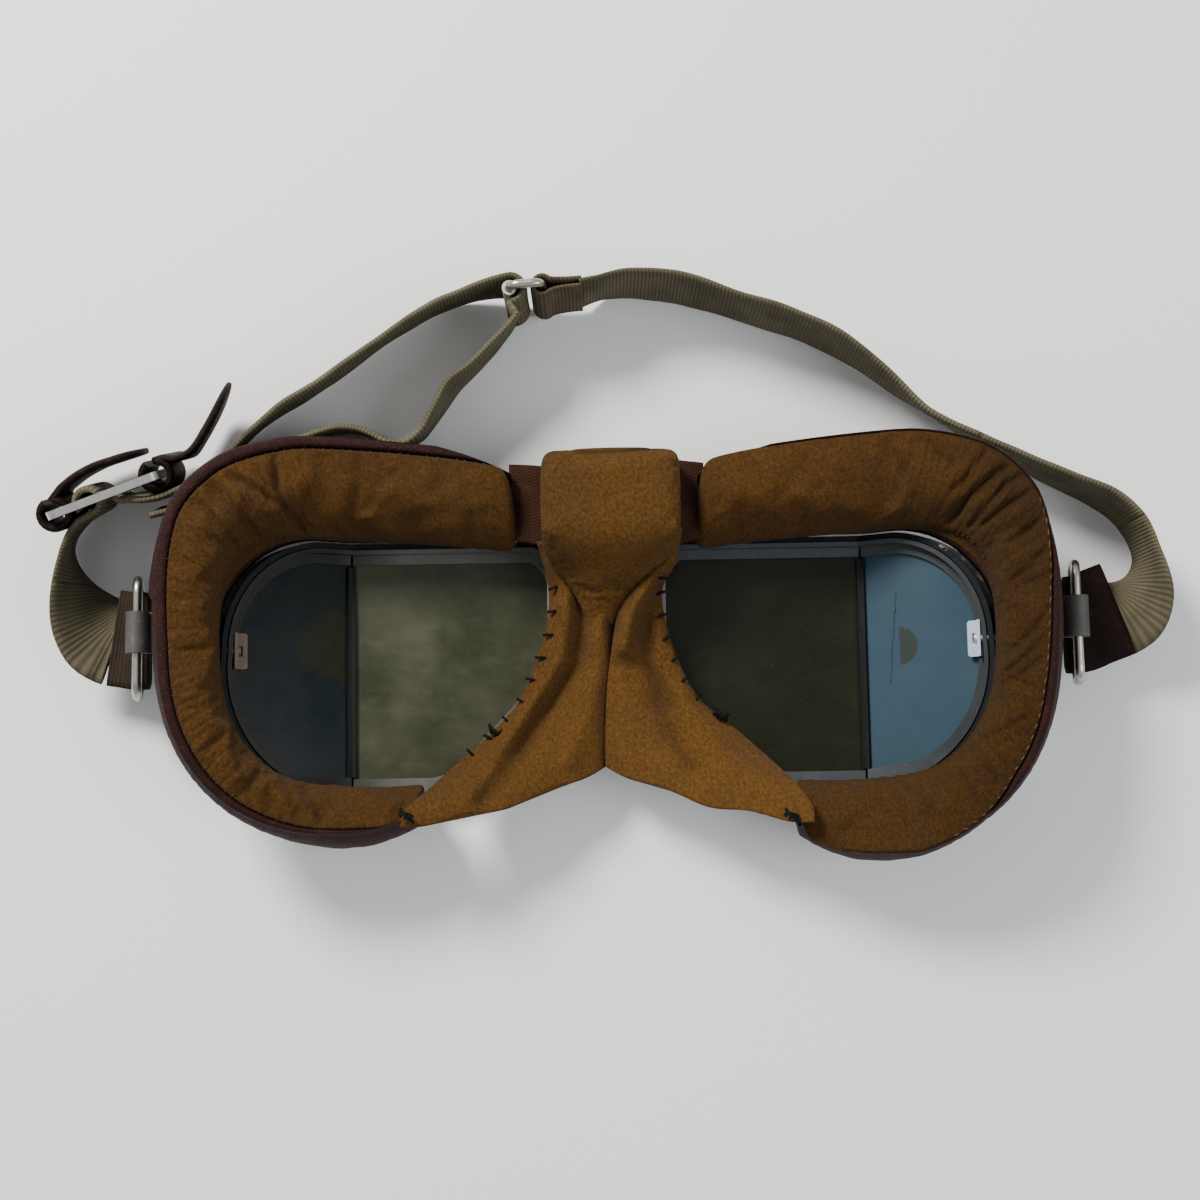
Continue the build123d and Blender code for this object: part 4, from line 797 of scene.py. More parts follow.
def swell(piece, free, pressure, cap):
    """Blows the free points out a little, by at most cap metres, and keeps the result."""
    rest = [v.co.copy() for v in piece.data.vertices]
    for v in piece.data.vertices:
        v.co = v.co * CLOTH_SCALE
    group = piece.vertex_groups.new(name="pinned")
    for i, share in enumerate(free):
        group.add([i], 1 - share, "REPLACE")
    cloth = piece.modifiers.new("swell", "CLOTH")
    for setting, value in (("quality", 6), ("mass", 0.3), ("tension_stiffness", 12),
                           ("compression_stiffness", 12), ("bending_stiffness", 0.4), ("use_pressure", True),
                           ("uniform_pressure_force", pressure), ("vertex_group_mass", "pinned"),
                           ("shrink_min", -0.04)):
        setattr(cloth.settings, setting, value)
    cloth.settings.effector_weights.gravity = 0
    cloth.point_cache.frame_start, cloth.point_cache.frame_end = 1, CLOTH_FRAMES
    for number in range(1, CLOTH_FRAMES + 1):
        bpy.context.scene.frame_set(number)
    shaped = piece.evaluated_get(bpy.context.evaluated_depsgraph_get()).data
    moved = [v.co / CLOTH_SCALE for v in shaped.vertices]
    piece.modifiers.remove(cloth)
    piece.vertex_groups.clear()
    bpy.context.scene.frame_set(1)
    far = 0.0
    for v, start, end in zip(piece.data.vertices, rest, moved):
        step = end - start
        if step.length > cap:
            step = step.normalized() * cap
        far = max(far, step.length)
        v.co = start + step
    return far


# %% Making a cushion
# sections beside a closed end are drawn in by these shares, and the ends stay pinned for END_ROWS
END_SHRINK = {0: 0.62, 1: 0.90, 2: 0.985}
END_ROWS = 6
# the right cushion bulges at its brow end, by this much and over these sections
BROW_BULGE, BULGE_ROWS = 1.6, 6
SUEDE_PRESSURE, SUEDE_SWELL = 1.2, 0.0012
# a point's way over the suede runs from 0 at the inner edge to 1 at the seam, and is this elsewhere
NO_WAY = 2.0


def refine(piece):
    """Divides a piece smoothly once, and keeps the finer mesh."""
    finer = smoother(piece, "finer")
    bpy.context.view_layer.update()
    mesh = bpy.data.meshes.new_from_object(piece.evaluated_get(bpy.context.evaluated_depsgraph_get()))
    piece.modifiers.remove(finer)
    piece.data = mesh


def cushion_rings(side, hand):
    """The closed rings of a cushion, and how free each of their points is to swell."""
    rings, free = [], []
    sections = PAD_SECTIONS[side]
    for index, section in enumerate(sections):
        (x, y), (ux, uy) = section[:2]
        ring = cushion_ring(section)
        last = min(index, len(sections) - 1 - index)
        shrink = END_SHRINK.get(last, 1.0)
        middle = [sum(p[n] for p in ring) / len(ring) for n in (0, 1)]
        bulge = BROW_BULGE if hand > 0 else 0.0
        row = []
        for k, (u, z) in enumerate(ring):
            u, z = (c + (value - c) * shrink for c, value in zip(middle, (u, z)))
            t = k / (TOP_COUNT - 1)
            push = bulge * sin(pi * min(1, t)) * max(0, 1 - index / BULGE_ROWS)
            row.append(metres(hand * (x + ux * u + push), y + uy * u, z))
            free.append(min(1, last / END_ROWS) * sin(pi * t) ** 0.5 if 0 < t < 1 else 0)
        rings.append(row)
    return rings, free


def make_cushion(side, hand):
    """Suede and felt of one cushion, closed, swollen and creased."""
    rings, free = cushion_rings(side, hand)
    piece = finished_piece(f"{side}_cushion", rings, suede)
    far = swell(piece, free, SUEDE_PRESSURE, SUEDE_SWELL)
    count = len(rings[0])
    ways = [k / (TOP_COUNT - 1) if k < TOP_COUNT else NO_WAY for k in range(count)] * len(rings)
    places = [float(i) for i in range(len(rings)) for _ in range(count)]
    for name, values in (("way", ways), ("row", places)):
        piece.data.attributes.new(name, "FLOAT", "POINT").data.foreach_set("value", values)
    refine(piece)
    ways, places = ([item.value for item in piece.data.attributes[name].data] for name in ("way", "row"))
    darkening = [0.3] * len(ways)
    for i, (v, t, index) in enumerate(zip(piece.data.vertices, ways, places)):
        if t > 1:
            continue
        x, y, _ = millimetres(v.co)
        fade = min(1, 0.35 + 4 * t) * min(1, (1 - t) * 6)
        ripple = noise.noise(Vector((index * 0.22, t * 1.6, 3.1 * hand))) * 0.5
        ripple += noise.noise(Vector((index * 0.6, t * 2.4, 9.7 * hand))) * 0.3
        corner = max(nearness(x, y, ((hand * 62, 20), (hand * 88, 12), (hand * 94, -10)), 16),
                     0.7 * nearness(x, y, ((hand * 90, -45), (hand * 70, -58)), 14))
        dent = crease_depth(side, x, y) * fade
        pucker = noise.noise(Vector((index * 1.3, t * 1.2, 6.3 * hand))) * (0.12 + 0.25 * corner) * fade
        v.co.z += (ripple * (0.35 + 0.8 * corner) * fade + pucker - 1.5 * dent) / 1000
        # painted shade and dirt in the creases, painted shade along the inner edge and the seam, painted shade
        # and light on the low and high puckers, and real grease along the greasy lines
        seams = 0.30 * exp(-(t / 0.07) ** 2) + 0.2 * exp(-((1 - t) / 0.05) ** 2)
        darkening[i] = 0.22 * dent + seams - 0.3 * pucker
        darkening[i] += 0.22 * max(0, nearness(x, y, GREASE[side], 9) - 0.15)
        if t < 0.04:
            way = PAD_SECTIONS[side][min(len(rings) - 1, round(index))][1]
            ragged = 0.55 * noise.noise(Vector((index * 0.8, 5.0, hand))) / 1000
            v.co.x += hand * way[0] * ragged
            v.co.y += way[1] * ragged
            v.co.z -= 0.3 * noise.noise(Vector((index * 0.9, 5.0, hand))) / 1000
    layer = piece.data.attributes.new("darkening", "FLOAT", "POINT")
    layer.data.foreach_set("value", [max(0.0, min(1.0, value)) for value in darkening])
    bpy.context.view_layer.update()
    smoother(piece, "round_off")
    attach(piece, f"{side}_cup")
    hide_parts(f"{side}_cushion_cover", f"{side}_cushion_core")
    print(piece.name, count * len(rings), "points, swollen by at most", round(far * 1000, 2), "mm")
    return piece


CUSHIONS = {side: make_cushion(side, hand) for side, hand in HAND.items()}

# %% [markdown]
# ## Leather skirts
#
# A strip of oxblood leather is sewn to the outer seam and rolled down to the bezel. It is
# stiffer than the suede, so it isn't simulated: its roll is an arc in each section, with
# small gathers that grow tighter round the corners.


# %% Skirts
LIP_STEPS = (0, 0.15, 0.3, 0.45, 0.6, 0.75, 0.9)
SKIRT_THICK, TUCKED_SECTIONS = 1.3, 9


def make_skirt(side, hand):
    """A skirt's rings: a rolled lip at the seam, the roll down to the knee, the foot and the inside."""
    rings = []
    for index, section in enumerate(PAD_SECTIONS[side]):
        (x, y), (ux, uy), _, seam, knee, low, _, roll, outer = section
        share = index / (len(PAD_SECTIONS[side]) - 1)
        last = min(index, len(PAD_SECTIONS[side]) - 1 - index)
        tuck = max(0, 1 - last / TUCKED_SECTIONS)
        gather = 0.28 * noise.noise(Vector((index * 0.75, 2.0, hand)))
        proud = (0.9 if side == "left" and share < 0.5 else -0.2) - 3.0 * tuck
        turned = (outer[0] + proud, outer[1] - 0.4 - 2.5 * tuck)
        start = (min(seam[0] + 0.15, turned[0] - 0.3), seam[1] + 0.2 - 2.5 * tuck)
        over = (turned[0] + 0.1, start[1] + 0.45)
        lip = [tuple((1 - t) ** 2 * a + 2 * t * (1 - t) * b + t * t * c for a, b, c in zip(start, over, turned))
               for t in LIP_STEPS]
        knee_out = (knee[0] + 1.5, knee[1] - 0.75)
        chord = hypot(turned[0] - knee_out[0], turned[1] - knee_out[1])
        rise = max(1.0, roll * chord + gather)
        rolled = lip + arc_points(turned, knee_out, rise, 18)
        below = (start[0] - 0.3, start[1] - 1.6)
        inside = arc_points(below, (knee[0] + 0.1, knee[1]), max(0.3, rise - SKIRT_THICK), 8)[::-1]
        ring = rolled + [(low[0] + 1.5, low[1]), (low[0] + 0.1, low[1])] + inside
        rings.append([metres(hand * (x + ux * u), y + uy * u, z) for u, z in ring])
    piece = finished_piece(f"{side}_skirt", rings, oxblood)
    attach(piece, f"{side}_cup")
    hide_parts(f"{side}_cushion_skirt")
    return piece


SKIRTS = {side: make_skirt(side, hand) for side, hand in HAND.items()}
print("skirts", [len(s.data.vertices) for s in SKIRTS.values()])

# %% [markdown]
# ## Nose leather
#
# Two pieces of suede meet over the nose. The right one laps over the left, both gather
# under the brow pad, and both are laced to the rims. A sheet could be draped by a cloth
# run, but its folds are old and set, so each piece is a grid between its seam and its
# lace, with the folds pushed in along drawn lines.

# %% Outlines and folds of the two nose pieces, in millimetres
# x, y and height along the middle seam and along the lace, from the brow down
NOSE_SEAM = {
    "right": ((15.6, 3.5, 19.5), (12.8, -0.5, 18.2), (8.8, -5.0, 16.6), (5.0, -9.6, 15.2), (2.3, -14.8, 14.4),
              (0.9, -22.3, 14.1), (-0.2, -30.0, 13.9), (-0.7, -38.0, 13.7), (-0.9, -44.5, 13.6),
              (-0.9, -48.6, 13.5)),
    "left": ((11.0, 1.5, 15.0), (7.5, -4.5, 14.0), (4.4, -9.5, 13.2), (2.6, -14.3, 12.8), (1.6, -22.3, 12.4),
             (1.0, -30.0, 12.2), (0.4, -38.0, 12.1), (-0.2, -44.5, 12.1), (-0.7, -48.5, 12.2))}
NOSE_LACE = {
    "right": ((17.4, 4.5, 19.0), (15.6, -3.5, 15.6), (13.0, -7.6, 13.6), (12.7, -12.0, 12.4),
              (14.0, -18.5, 11.6), (16.4, -25.5, 10.6), (20.6, -33.4, 10.1), (28.0, -39.8, 10.4),
              (35.4, -46.8, 13.8), (40.0, -52.0, 20.8), (43.6, -57.5, 27.0), (43.9, -61.4, 29.6)),
    "left": ((-15.5, 1.8, 19.0), (-13.4, -6.5, 13.6), (-13.2, -12.0, 12.4), (-14.2, -18.5, 11.6),
             (-16.8, -25.6, 10.6), (-20.8, -34.0, 10.1), (-27.6, -41.3, 10.6), (-35.0, -48.0, 13.8),
             (-39.6, -52.6, 20.8), (-44.2, -57.0, 27.0), (-45.4, -61.0, 29.2))}
# each fold's line in the plan, height and width
NOSE_FOLDS = {
    "right": [(((12.1, -7.9), (9.8, -12.5), (8.5, -16.2), (9.5, -25.6), (13.6, -34.9)), -1.7, 1.9),
              (((17.2, 1.0), (14.6, -3.4), (10.4, -7.6), (6.6, -12.2), (4.6, -17.0), (3.6, -22.0)), 4.2, 2.5),
              (((17.0, -31.0), (21.0, -39.0), (28.0, -47.5)), 1.2, 3.0),
              (((10.5, -34.0), (14.0, -42.0), (18.0, -49.0)), -0.9, 2.2)],
    "left": [(((-8.6, -3.0), (-5.2, -8.6), (-5.6, -16.0), (-6.9, -25.3), (-13.5, -35.0), (-21.0, -46.6),
               (-27.9, -55.6)), -2.5, 2.1),
             (((-11.6, -2.6), (-9.3, -9.0), (-9.2, -16.0), (-11.2, -25.0), (-18.0, -35.0),
               (-26.0, -46.0)), 2.1, 2.3),
             (((-2.6, -9.0), (-1.4, -14.0), (-1.4, -24.0), (-4.5, -36.0), (-9.0, -47.0)), 1.6, 2.6)]}


print("nose folds", {side: len(folds) for side, folds in NOSE_FOLDS.items()})


# %% Grids of the nose pieces, and the pieces themselves
NOSE_ROWS, NOSE_COLUMNS, NOSE_THICK = 100, 56, 1.5


def resampled(rows, count):
    """The same smooth line as count + 1 rows at even shares of its length."""
    rows = smooth_rows(rows, 20)
    reach = [0.0]
    for a, b in zip(rows, rows[1:]):
        reach.append(reach[-1] + hypot(b[0] - a[0], b[1] - a[1]))
    done, i = [], 0
    for k in range(count + 1):
        goal = reach[-1] * k / count
        while i < len(reach) - 2 and reach[i + 1] < goal:
            i += 1
        t = min(1, (goal - reach[i]) / (reach[i + 1] - reach[i]))
        done.append(tuple(a + (b - a) * t for a, b in zip(rows[i], rows[i + 1])))
    return done


def nose_grid(side):
    """Upper face of one nose piece, row by row from the brow to its lower edge.

    The steps bend the lower edge, drape the sheet, push in the folds, lift it under the
    pad, dimple it, and turn its two edges down.
    """
    grid = []
    seam, lace = resampled(NOSE_SEAM[side], NOSE_ROWS), resampled(NOSE_LACE[side], NOSE_ROWS)
    for j, (a, b) in enumerate(zip(seam, lace)):
        line = []
        for i in range(NOSE_COLUMNS + 1):
            u, v = i / NOSE_COLUMNS, j / NOSE_ROWS
            x, y, z = (p + (q - p) * u for p, q in zip(a, b))
            y -= sin(pi * u) * 2.4 * v ** 3 + 0.55 * sin(5 * pi * u) * v ** 8
            z += 1.4 * 4 * u * (1 - u) - 1.6 * sin(pi * u) * v ** 6
            z += sum(h * nearness(x, y, fold, w) for fold, h, w in NOSE_FOLDS[side])
            z += 4.0 * exp(-((y - 1.5) / 6) ** 2 - ((x - 1) / 9) ** 2)
            z += 0.5 * noise.noise(Vector((x * 0.15, y * 0.15, 4.0)))
            z -= 0.8 * exp(-(u * 20) ** 2) + 0.5 * exp(-((1 - u) * 24) ** 2)
            line.append((x, y, z))
        grid.append(line)
    return grid


NOSE_GRIDS = {side: nose_grid(side) for side in HAND}


def paint_soil_and_shade(piece, share):
    """Stores how much soil and painted shade each point has, 1 at most, by a rule of its place in millimetres.
    """
    layer = piece.data.attributes.new("darkening", "FLOAT", "POINT")
    for v in piece.data.vertices:
        layer.data[v.index].value = min(1.0, share(*millimetres(v.co)))


def nose_shade(side):
    """The rule that paints shade into the deep folds, the gathers under the pad and along the lap."""
    lap = [row[:2] for row in NOSE_SEAM["right"]]

    def share(x, y, z):
        dark = 0.35 * sum(nearness(x, y, fold, w * 0.8) for fold, h, w in NOSE_FOLDS[side] if h < 0)
        dark += 0.6 * nearness(x, y, ((7, -4), (3.6, -8.5), (1.6, -13), (1.0, -17)), 1.7)
        if side == "left":
            dark += 0.5 * nearness(x, y, lap, 1.6)
        return dark
    return share


def make_nose_piece(side):
    """The grid's face, closed by a second face below it."""
    rings = []
    for line in NOSE_GRIDS[side]:
        low = [(x, y, z - NOSE_THICK) for x, y, z in reversed(line)]
        rings.append([metres(*p) for p in line + low])
    piece = finished_piece(f"{side}_nose_leather", rings, chamois)
    paint_soil_and_shade(piece, nose_shade(side))
    return piece


NOSE_PIECES = {side: make_nose_piece(side) for side in HAND}
for side, piece in NOSE_PIECES.items():
    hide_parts(f"{side}_nose_flap")
    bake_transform(piece)
print("nose leather", [len(p.data.vertices) for p in NOSE_PIECES.values()])

# %% [markdown]
# ## Brow pad, bridge leather and tapes
#
# The pad is a stuffed block of suede with round upper corners and a slack lower edge that
# slopes into the nose leather. The two brown tapes beside it close the gap to the cushions.


# %% Brow pad
# y, left edge, right edge, height of the face and height of the underside, in millimetres
BROW_ROWS = (
    (21.3, -8.6, 11.6, 22.5, 19.0), (21.2, -11.2, 13.8, 25.6, 18.2), (20.6, -12.7, 15.3, 27.6, 18.0),
    (19.4, -13.6, 16.2, 29.0, 18.0), (16.8, -14.1, 16.6, 29.9, 18.0), (10.0, -14.3, 16.7, 30.3, 18.0),
    (4.0, -14.2, 16.6, 29.9, 17.6), (1.0, -14.0, 16.4, 28.7, 16.4), (-1.5, -13.4, 15.2, 26.8, 14.8),
    (-4.0, -11.8, 12.8, 24.3, 13.4), (-6.8, -9.4, 9.2, 21.4, 12.6), (-10.0, -7.2, 5.8, 18.4, 12.0),
    (-13.5, -5.4, 3.2, 15.8, 11.8), (-17.0, -4.0, 1.4, 13.8, 11.6), (-20.0, -2.6, 0.6, 12.6, 11.5))
BROW_STEPS, BROW_POINTS = 6, 72
BROW_PRESSURE, BROW_SWELL = 1.0, 0.0006


def brow_soil_and_shade(x, y, z):
    """The rule that darkens the pad's worn upper edge, and paints shade into its slack lower end."""
    worn = 0.55 + 0.9 * noise.noise(Vector((x * 0.6, y * 0.6, 2.0)))
    dirt = worn * nearness(x, y, ((-7.5, 20.3), (2, 20.2), (11.0, 20.7)), 0.6) * min(1, max(0, (z - 25) / 2))
    return dirt + 0.15 * nearness(x, y, ((3, -8), (1.5, -12)), 2.0)


def make_brow_pad():
    rings, free = [], []
    rows = smooth_rows(BROW_ROWS, BROW_STEPS)
    for index, (y, left, right, face, under) in enumerate(rows):
        half, middle = (right - left) / 2, (right + left) / 2
        square = 0.30 if y > 3 else 0.30 + 0.85 * min(1, (3 - y) / 8)
        ring = []
        for k in range(BROW_POINTS):
            a = 2 * pi * k / BROW_POINTS
            c, n = cos(a), sin(a)
            x = middle + half * (abs(c) ** square) * (1 if c > 0 else -1)
            z = (face + under) / 2 + (face - under) / 2 * (abs(n) ** square) * (1 if n > 0 else -1)
            if n > 0:
                z += 0.5 * noise.noise(Vector((x * 0.13, y * 0.13, 7.0))) * n
                z += 0.5 * (1 - (x - middle) ** 2 / half ** 2) * min(1, max(0, (face - 24) / 5))
            ring.append(metres(x, y, z))
            free.append(max(0, n) ** 0.5 * min(1, index / 8, (len(rows) - 1 - index) / 20))
        rings.append(ring)
    piece = finished_piece("brow_cushion", rings, chamois)
    far = swell(piece, free, BROW_PRESSURE, BROW_SWELL)
    paint_soil_and_shade(piece, brow_soil_and_shade)
    smoother(piece, "round_off")
    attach(piece, "bridge")
    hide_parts("brow_pad")
    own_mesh(piece)
    print("brow pad swollen by at most", round(far * 1000, 2), "mm")


make_brow_pad()


# %% Bridge leather and the two tapes
PANEL_STEPS = 26


def flat_panel(name, finish, corners, low, thick, puff, run=False, tucks=()):
    """Sheet between four plan corners, top left first and clockwise, softly raised in its middle."""
    rings, places = [], []
    for j in range(PANEL_STEPS + 1):
        v = j / PANEL_STEPS
        left = [a + (b - a) * v for a, b in zip(corners[0], corners[3])]
        right = [a + (b - a) * v for a, b in zip(corners[1], corners[2])]
        row = []
        for i in range(PANEL_STEPS + 1):
            u = i / PANEL_STEPS
            x, y = (a + (b - a) * u for a, b in zip(left, right))
            z = low + thick + puff * sin(pi * u) * (0.6 + 0.4 * sin(pi * v))
            z += 0.3 * noise.noise(Vector((x * 0.3, y * 0.25, 1.0)))
            z -= 0.55 * sum(nearness(x, y, tuck, 0.7) for tuck in tucks)
            row.append((x, y, z))
        rings.append([metres(*p) for p in row] + [metres(x, y, z - thick) for x, y, z in reversed(row)])
        places += [(y, x) for x, y, _ in row + row[::-1]]
    return finished_piece(name, rings, finish, places if run else None)


BRIDGE_PLAN = ((-12.5, 18.4), (14.0, 18.4), (14.0, 3.5), (-12.5, 3.5))
BRIDGE = flat_panel("bridge_panel", chamois, BRIDGE_PLAN, 14.1, 1.3, 0.0)
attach(BRIDGE, "bridge")
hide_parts("bridge_leather")
TAPE_PLANS = {"left": ((-21.6, 19.8), (-11.5, 19.0), (-11.5, 0.6), (-21.6, 2.6)),
              "right": ((11.5, 20.6), (22.4, 19.4), (22.8, 2.6), (11.5, -0.6))}
TAPE_TUCKS = {"left": (((-20, 15.5), (-12, 13.8)),),
              "right": (((13, 9.0), (18, 10.2), (23, 8.8)), ((14, 3.2), (21, 6.5)))}
for side, plan in TAPE_PLANS.items():
    piece = flat_panel(f"{side}_tape", tape, plan, 16.0, 1.2, 1.3, True, TAPE_TUCKS[side])
    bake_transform(piece)
    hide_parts(f"{side}_brow_tape")
print("bridge and tapes made")

# %% [markdown]
# ## Stitches and knots
#
# Black thread whips the nose leather to the rims, and finer threads sew the suede to the
# skirts. Each stitch could be placed by hand, but they repeat along a line, so one Geometry
# Nodes tree bends a thread and sets it at an even pitch, turned and sized a little at random.
# The same tree ties the knots: a very short line with long, crossing stitches.


# %% The sewing tree
def sewing_tree():
    """Bent threads along a line. Pitch, Length, Rise and the radius Thread are in metres, angles in radians."""
    tree = bpy.data.node_groups.new("sewn_line", "GeometryNodeTree")
    tree.interface.new_socket("Geometry", in_out="OUTPUT", socket_type="NodeSocketGeometry")
    tree.interface.new_socket("Line", in_out="INPUT", socket_type="NodeSocketGeometry")
    for label, kind, value in (
            ("Pitch", "Float", 0.005), ("Length", "Float", 0.0024), ("Thread", "Float", 0.0003),
            ("Rise", "Float", 0.0005), ("Slant", "Float", 0.0), ("Alternate", "Float", 0.0),
            ("Jitter", "Float", 0.15), ("Seed", "Int", 1)):
        tree.interface.new_socket(label, in_out="INPUT", socket_type="NodeSocket" + kind).default_value = value
    tree.interface.new_socket("Finish", in_out="INPUT", socket_type="NodeSocketMaterial")
    given = tree.nodes.new("NodeGroupInput").outputs
    out = tree.nodes.new("NodeGroupOutput").inputs
    line = add(tree, "GeometryNodeMeshToCurve", Mesh=given["Line"])
    places = add(tree, "GeometryNodeCurveToPoints", [("mode", "LENGTH")], Curve=line.outputs[0],
                 Length=given["Pitch"])

    half = times(tree, given["Length"], 0.5)
    rise = times(tree, given["Rise"], 2)
    start, middle, end = (add(tree, "ShaderNodeCombineXYZ", Y=y, Z=z).outputs[0] for y, z in (
        (times(tree, half, -1), None), (None, rise), (half, None)))
    bend = add(tree, "GeometryNodeCurveQuadraticBezier", Resolution=5, Start=start, Middle=middle, End=end)
    round_thread = add(tree, "GeometryNodeCurvePrimitiveCircle", Resolution=6, Radius=given["Thread"])
    thread = add(tree, "GeometryNodeCurveToMesh", Fill_Caps=True, Curve=bend.outputs[0],
                 Profile_Curve=round_thread.outputs[0])

    odd = sums(tree, "MODULO", add(tree, "GeometryNodeInputIndex").outputs[0], 2)
    swing = sums(tree, "SUBTRACT", 1, times(tree, times(tree, odd, 2), given["Alternate"]))
    chance = add(tree, "FunctionNodeRandomValue", Seed=given["Seed"])
    chance.inputs[2].default_value, chance.inputs[3].default_value = -1, 1
    wobble = times(tree, chance.outputs[1], given["Jitter"])
    angle = plus(tree, times(tree, swing, given["Slant"]), wobble)
    turn = add(tree, "FunctionNodeAxisAngleToRotation", Axis=(0, 0, 1), Angle=angle)
    facing = add(tree, "FunctionNodeAlignRotationToVector", (("axis", "X"), ("pivot_axis", "Z")),
                 Vector=places.outputs["Tangent"])
    turned = add(tree, "FunctionNodeRotateRotation", [("rotation_space", "LOCAL")])
    feed(tree, facing.outputs[0], turned.inputs[0])
    feed(tree, turn.outputs[0], turned.inputs[1])
    sewn = add(tree, "GeometryNodeInstanceOnPoints", Points=places.outputs["Points"],
               Instance=thread.outputs[0], Rotation=turned.outputs[0], Scale=plus(tree, 1, wobble, 0.5))
    real = add(tree, "GeometryNodeRealizeInstances", Geometry=sewn.outputs[0])
    painted = add(tree, "GeometryNodeSetMaterial", Geometry=real.outputs[0], Material=given["Finish"])
    feed(tree, painted.outputs[0], out["Geometry"])
    return tree


SEWN_LINE = sewing_tree()


def sew(name, line, finish, **sizes):
    """Stitches along a line of points in millimetres, made real as one plain mesh."""
    mesh = bpy.data.meshes.new(name)
    mesh.from_pydata([tuple(metres(*p)) for p in line], [(i, i + 1) for i in range(len(line) - 1)], [])
    piece = bpy.data.objects.new(name, mesh)
    bpy.context.scene.collection.objects.link(piece)
    sewing = piece.modifiers.new("sewing", "NODES")
    sewing.node_group = SEWN_LINE
    for item in SEWN_LINE.interface.items_tree:
        if item.in_out == "INPUT" and item.name in sizes:
            sewing[item.identifier] = sizes[item.name]
        elif item.name == "Finish":
            sewing[item.identifier] = finish
    bpy.context.view_layer.update()
    done = bpy.data.meshes.new_from_object(piece.evaluated_get(bpy.context.evaluated_depsgraph_get()))
    piece.modifiers.remove(sewing)
    piece.data = done
    for face in done.polygons:
        face.use_smooth = True
    print(name, len(done.polygons), "faces")
    return piece


# %% Thread finishes, laces, knots and seams
twist, given, out = effect_group("twisted_thread", Yarn=(0.01, 0.01, 0.01, 1), Lint=(0.05, 0.05, 0.05, 1))
strands = speckle(twist, object_place(twist), 3000, 2, 0.6, (1, 0.4, 1))
tone = blend_colours(twist, span(twist, strands, 0.45, 0.7), given["Yarn"], given["Lint"])
give_out(twist, out, tone, strands, span(twist, strands, 0.3, 0.7, 0.55, 0.9))


def thread_finish(name, yarn, lint, **fixed):
    return new_finish(name, twist, {"Yarn": yarn, "Lint": lint}, 0.0001, **fixed)


black_thread = thread_finish("black_lacing_thread", (0.002, 0.002, 0.002), (0.008, 0.007, 0.006),
                             Specular_IOR_Level=0.12)
waxed_thread = thread_finish("waxed_seam_thread", (0.045, 0.028, 0.016), (0.12, 0.085, 0.055))
dark_thread = thread_finish("dark_seam_thread", (0.009, 0.005, 0.004), (0.03, 0.018, 0.012))


def on_nose_leather(side, inset, first, last, lift):
    """Points just inside the lace edge of a nose piece, between two shares of its length."""
    grid = NOSE_GRIDS[side]
    line = []
    for row in grid[int(first * (len(grid) - 1)):int(last * (len(grid) - 1)) + 1]:
        reach = 0.0
        for a, b in zip(row[::-1], row[-2::-1]):
            reach += hypot(a[0] - b[0], a[1] - b[1])
            if reach > inset:
                break
        line.append((b[0], b[1], b[2] + lift))
    return line


# first and last share of the lace edge, pitch in millimetres and seed
LACING = {"left": (0.14, 0.72, 5.3, 3), "right": (0.17, 0.60, 4.8, 5)}
for side, (first, last, pitch, seed) in LACING.items():
    line = on_nose_leather(side, 1.2, first, last, 0.25)
    lacing = sew(f"{side}_lacing", line, black_thread, Pitch=pitch / 1000, Length=0.0026, Thread=0.00030,
                 Rise=0.00045, Slant=0.12, Jitter=0.22, Seed=seed)
    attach(lacing, f"{side}_cup")
# the end of the lacing and the lowest corner, each with a knot
KNOTS = {"left": ((-25.6, -40.4, 11.9), (-44.0, -58.6, 29.6)),
         "right": ((25.4, -37.6, 11.6), (38.9, -60.0, 28.4))}
KNOT_SEEDS = {"lace_knot": 9, "end_knot": 8}
for side, places in KNOTS.items():
    for (label, seed), (x, y, z) in zip(KNOT_SEEDS.items(), places):
        tie = ((x - 1.1, y + 0.7, z), (x, y, z + 0.3), (x + 1.2, y - 0.6, z))
        knot = sew(f"{side}_{label}", tie, black_thread, Pitch=0.0006, Length=0.0021, Thread=0.00034,
                   Rise=0.0006, Slant=0.8, Alternate=1.0, Jitter=0.5, Seed=seed)
        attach(knot, f"{side}_cup")


def along_seam(side, first, last, inset, lift):
    """Points on the swollen suede, just inside its outer seam."""
    piece, count = CUSHIONS[side], len(cushion_ring(PAD_SECTIONS[side][0]))
    total = len(PAD_SECTIONS[side])
    line = []
    for index in range(int(first * total), int(last * total)):
        a = piece.data.vertices[index * count + TOP_COUNT - 1].co
        b = piece.data.vertices[index * count + TOP_COUNT - 3].co
        x, y, z = millimetres(a.lerp(b, inset / ((a - b).length * 1000)))
        line.append((x, y, z + lift))
    return line


# first and last share of the seam, thread and stitch sizes in metres
SEAMS = {
    "right": (0.40, 0.86, waxed_thread,
              dict(Pitch=0.0024, Length=0.0012, Slant=1.35, Alternate=0.0, Thread=0.00015)),
    "left": (0.03, 0.95, dark_thread,
             dict(Pitch=0.0021, Length=0.0011, Slant=0.45, Alternate=1.0, Thread=0.00012))}
for side, (first, last, finish, sizes) in SEAMS.items():
    seam = sew(f"{side}_seam_stitches", along_seam(side, first, last, 0.5, 0.1), finish, Rise=0.00015,
               Jitter=0.2, Seed=11, **sizes)
    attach(seam, f"{side}_cup")
print("threads sewn")

# %% [markdown]
# ## Webbing straps
#
# The strap is flat cotton webbing that stands on its edge and turns as it goes. A curve
# with a bevel would twist by its own rule, so each strap is a skin over stations instead:
# a place, a middle height and a lean from flat to upright. The weave reads the strap's
# own run and width in millimetres, which are stored as its map.

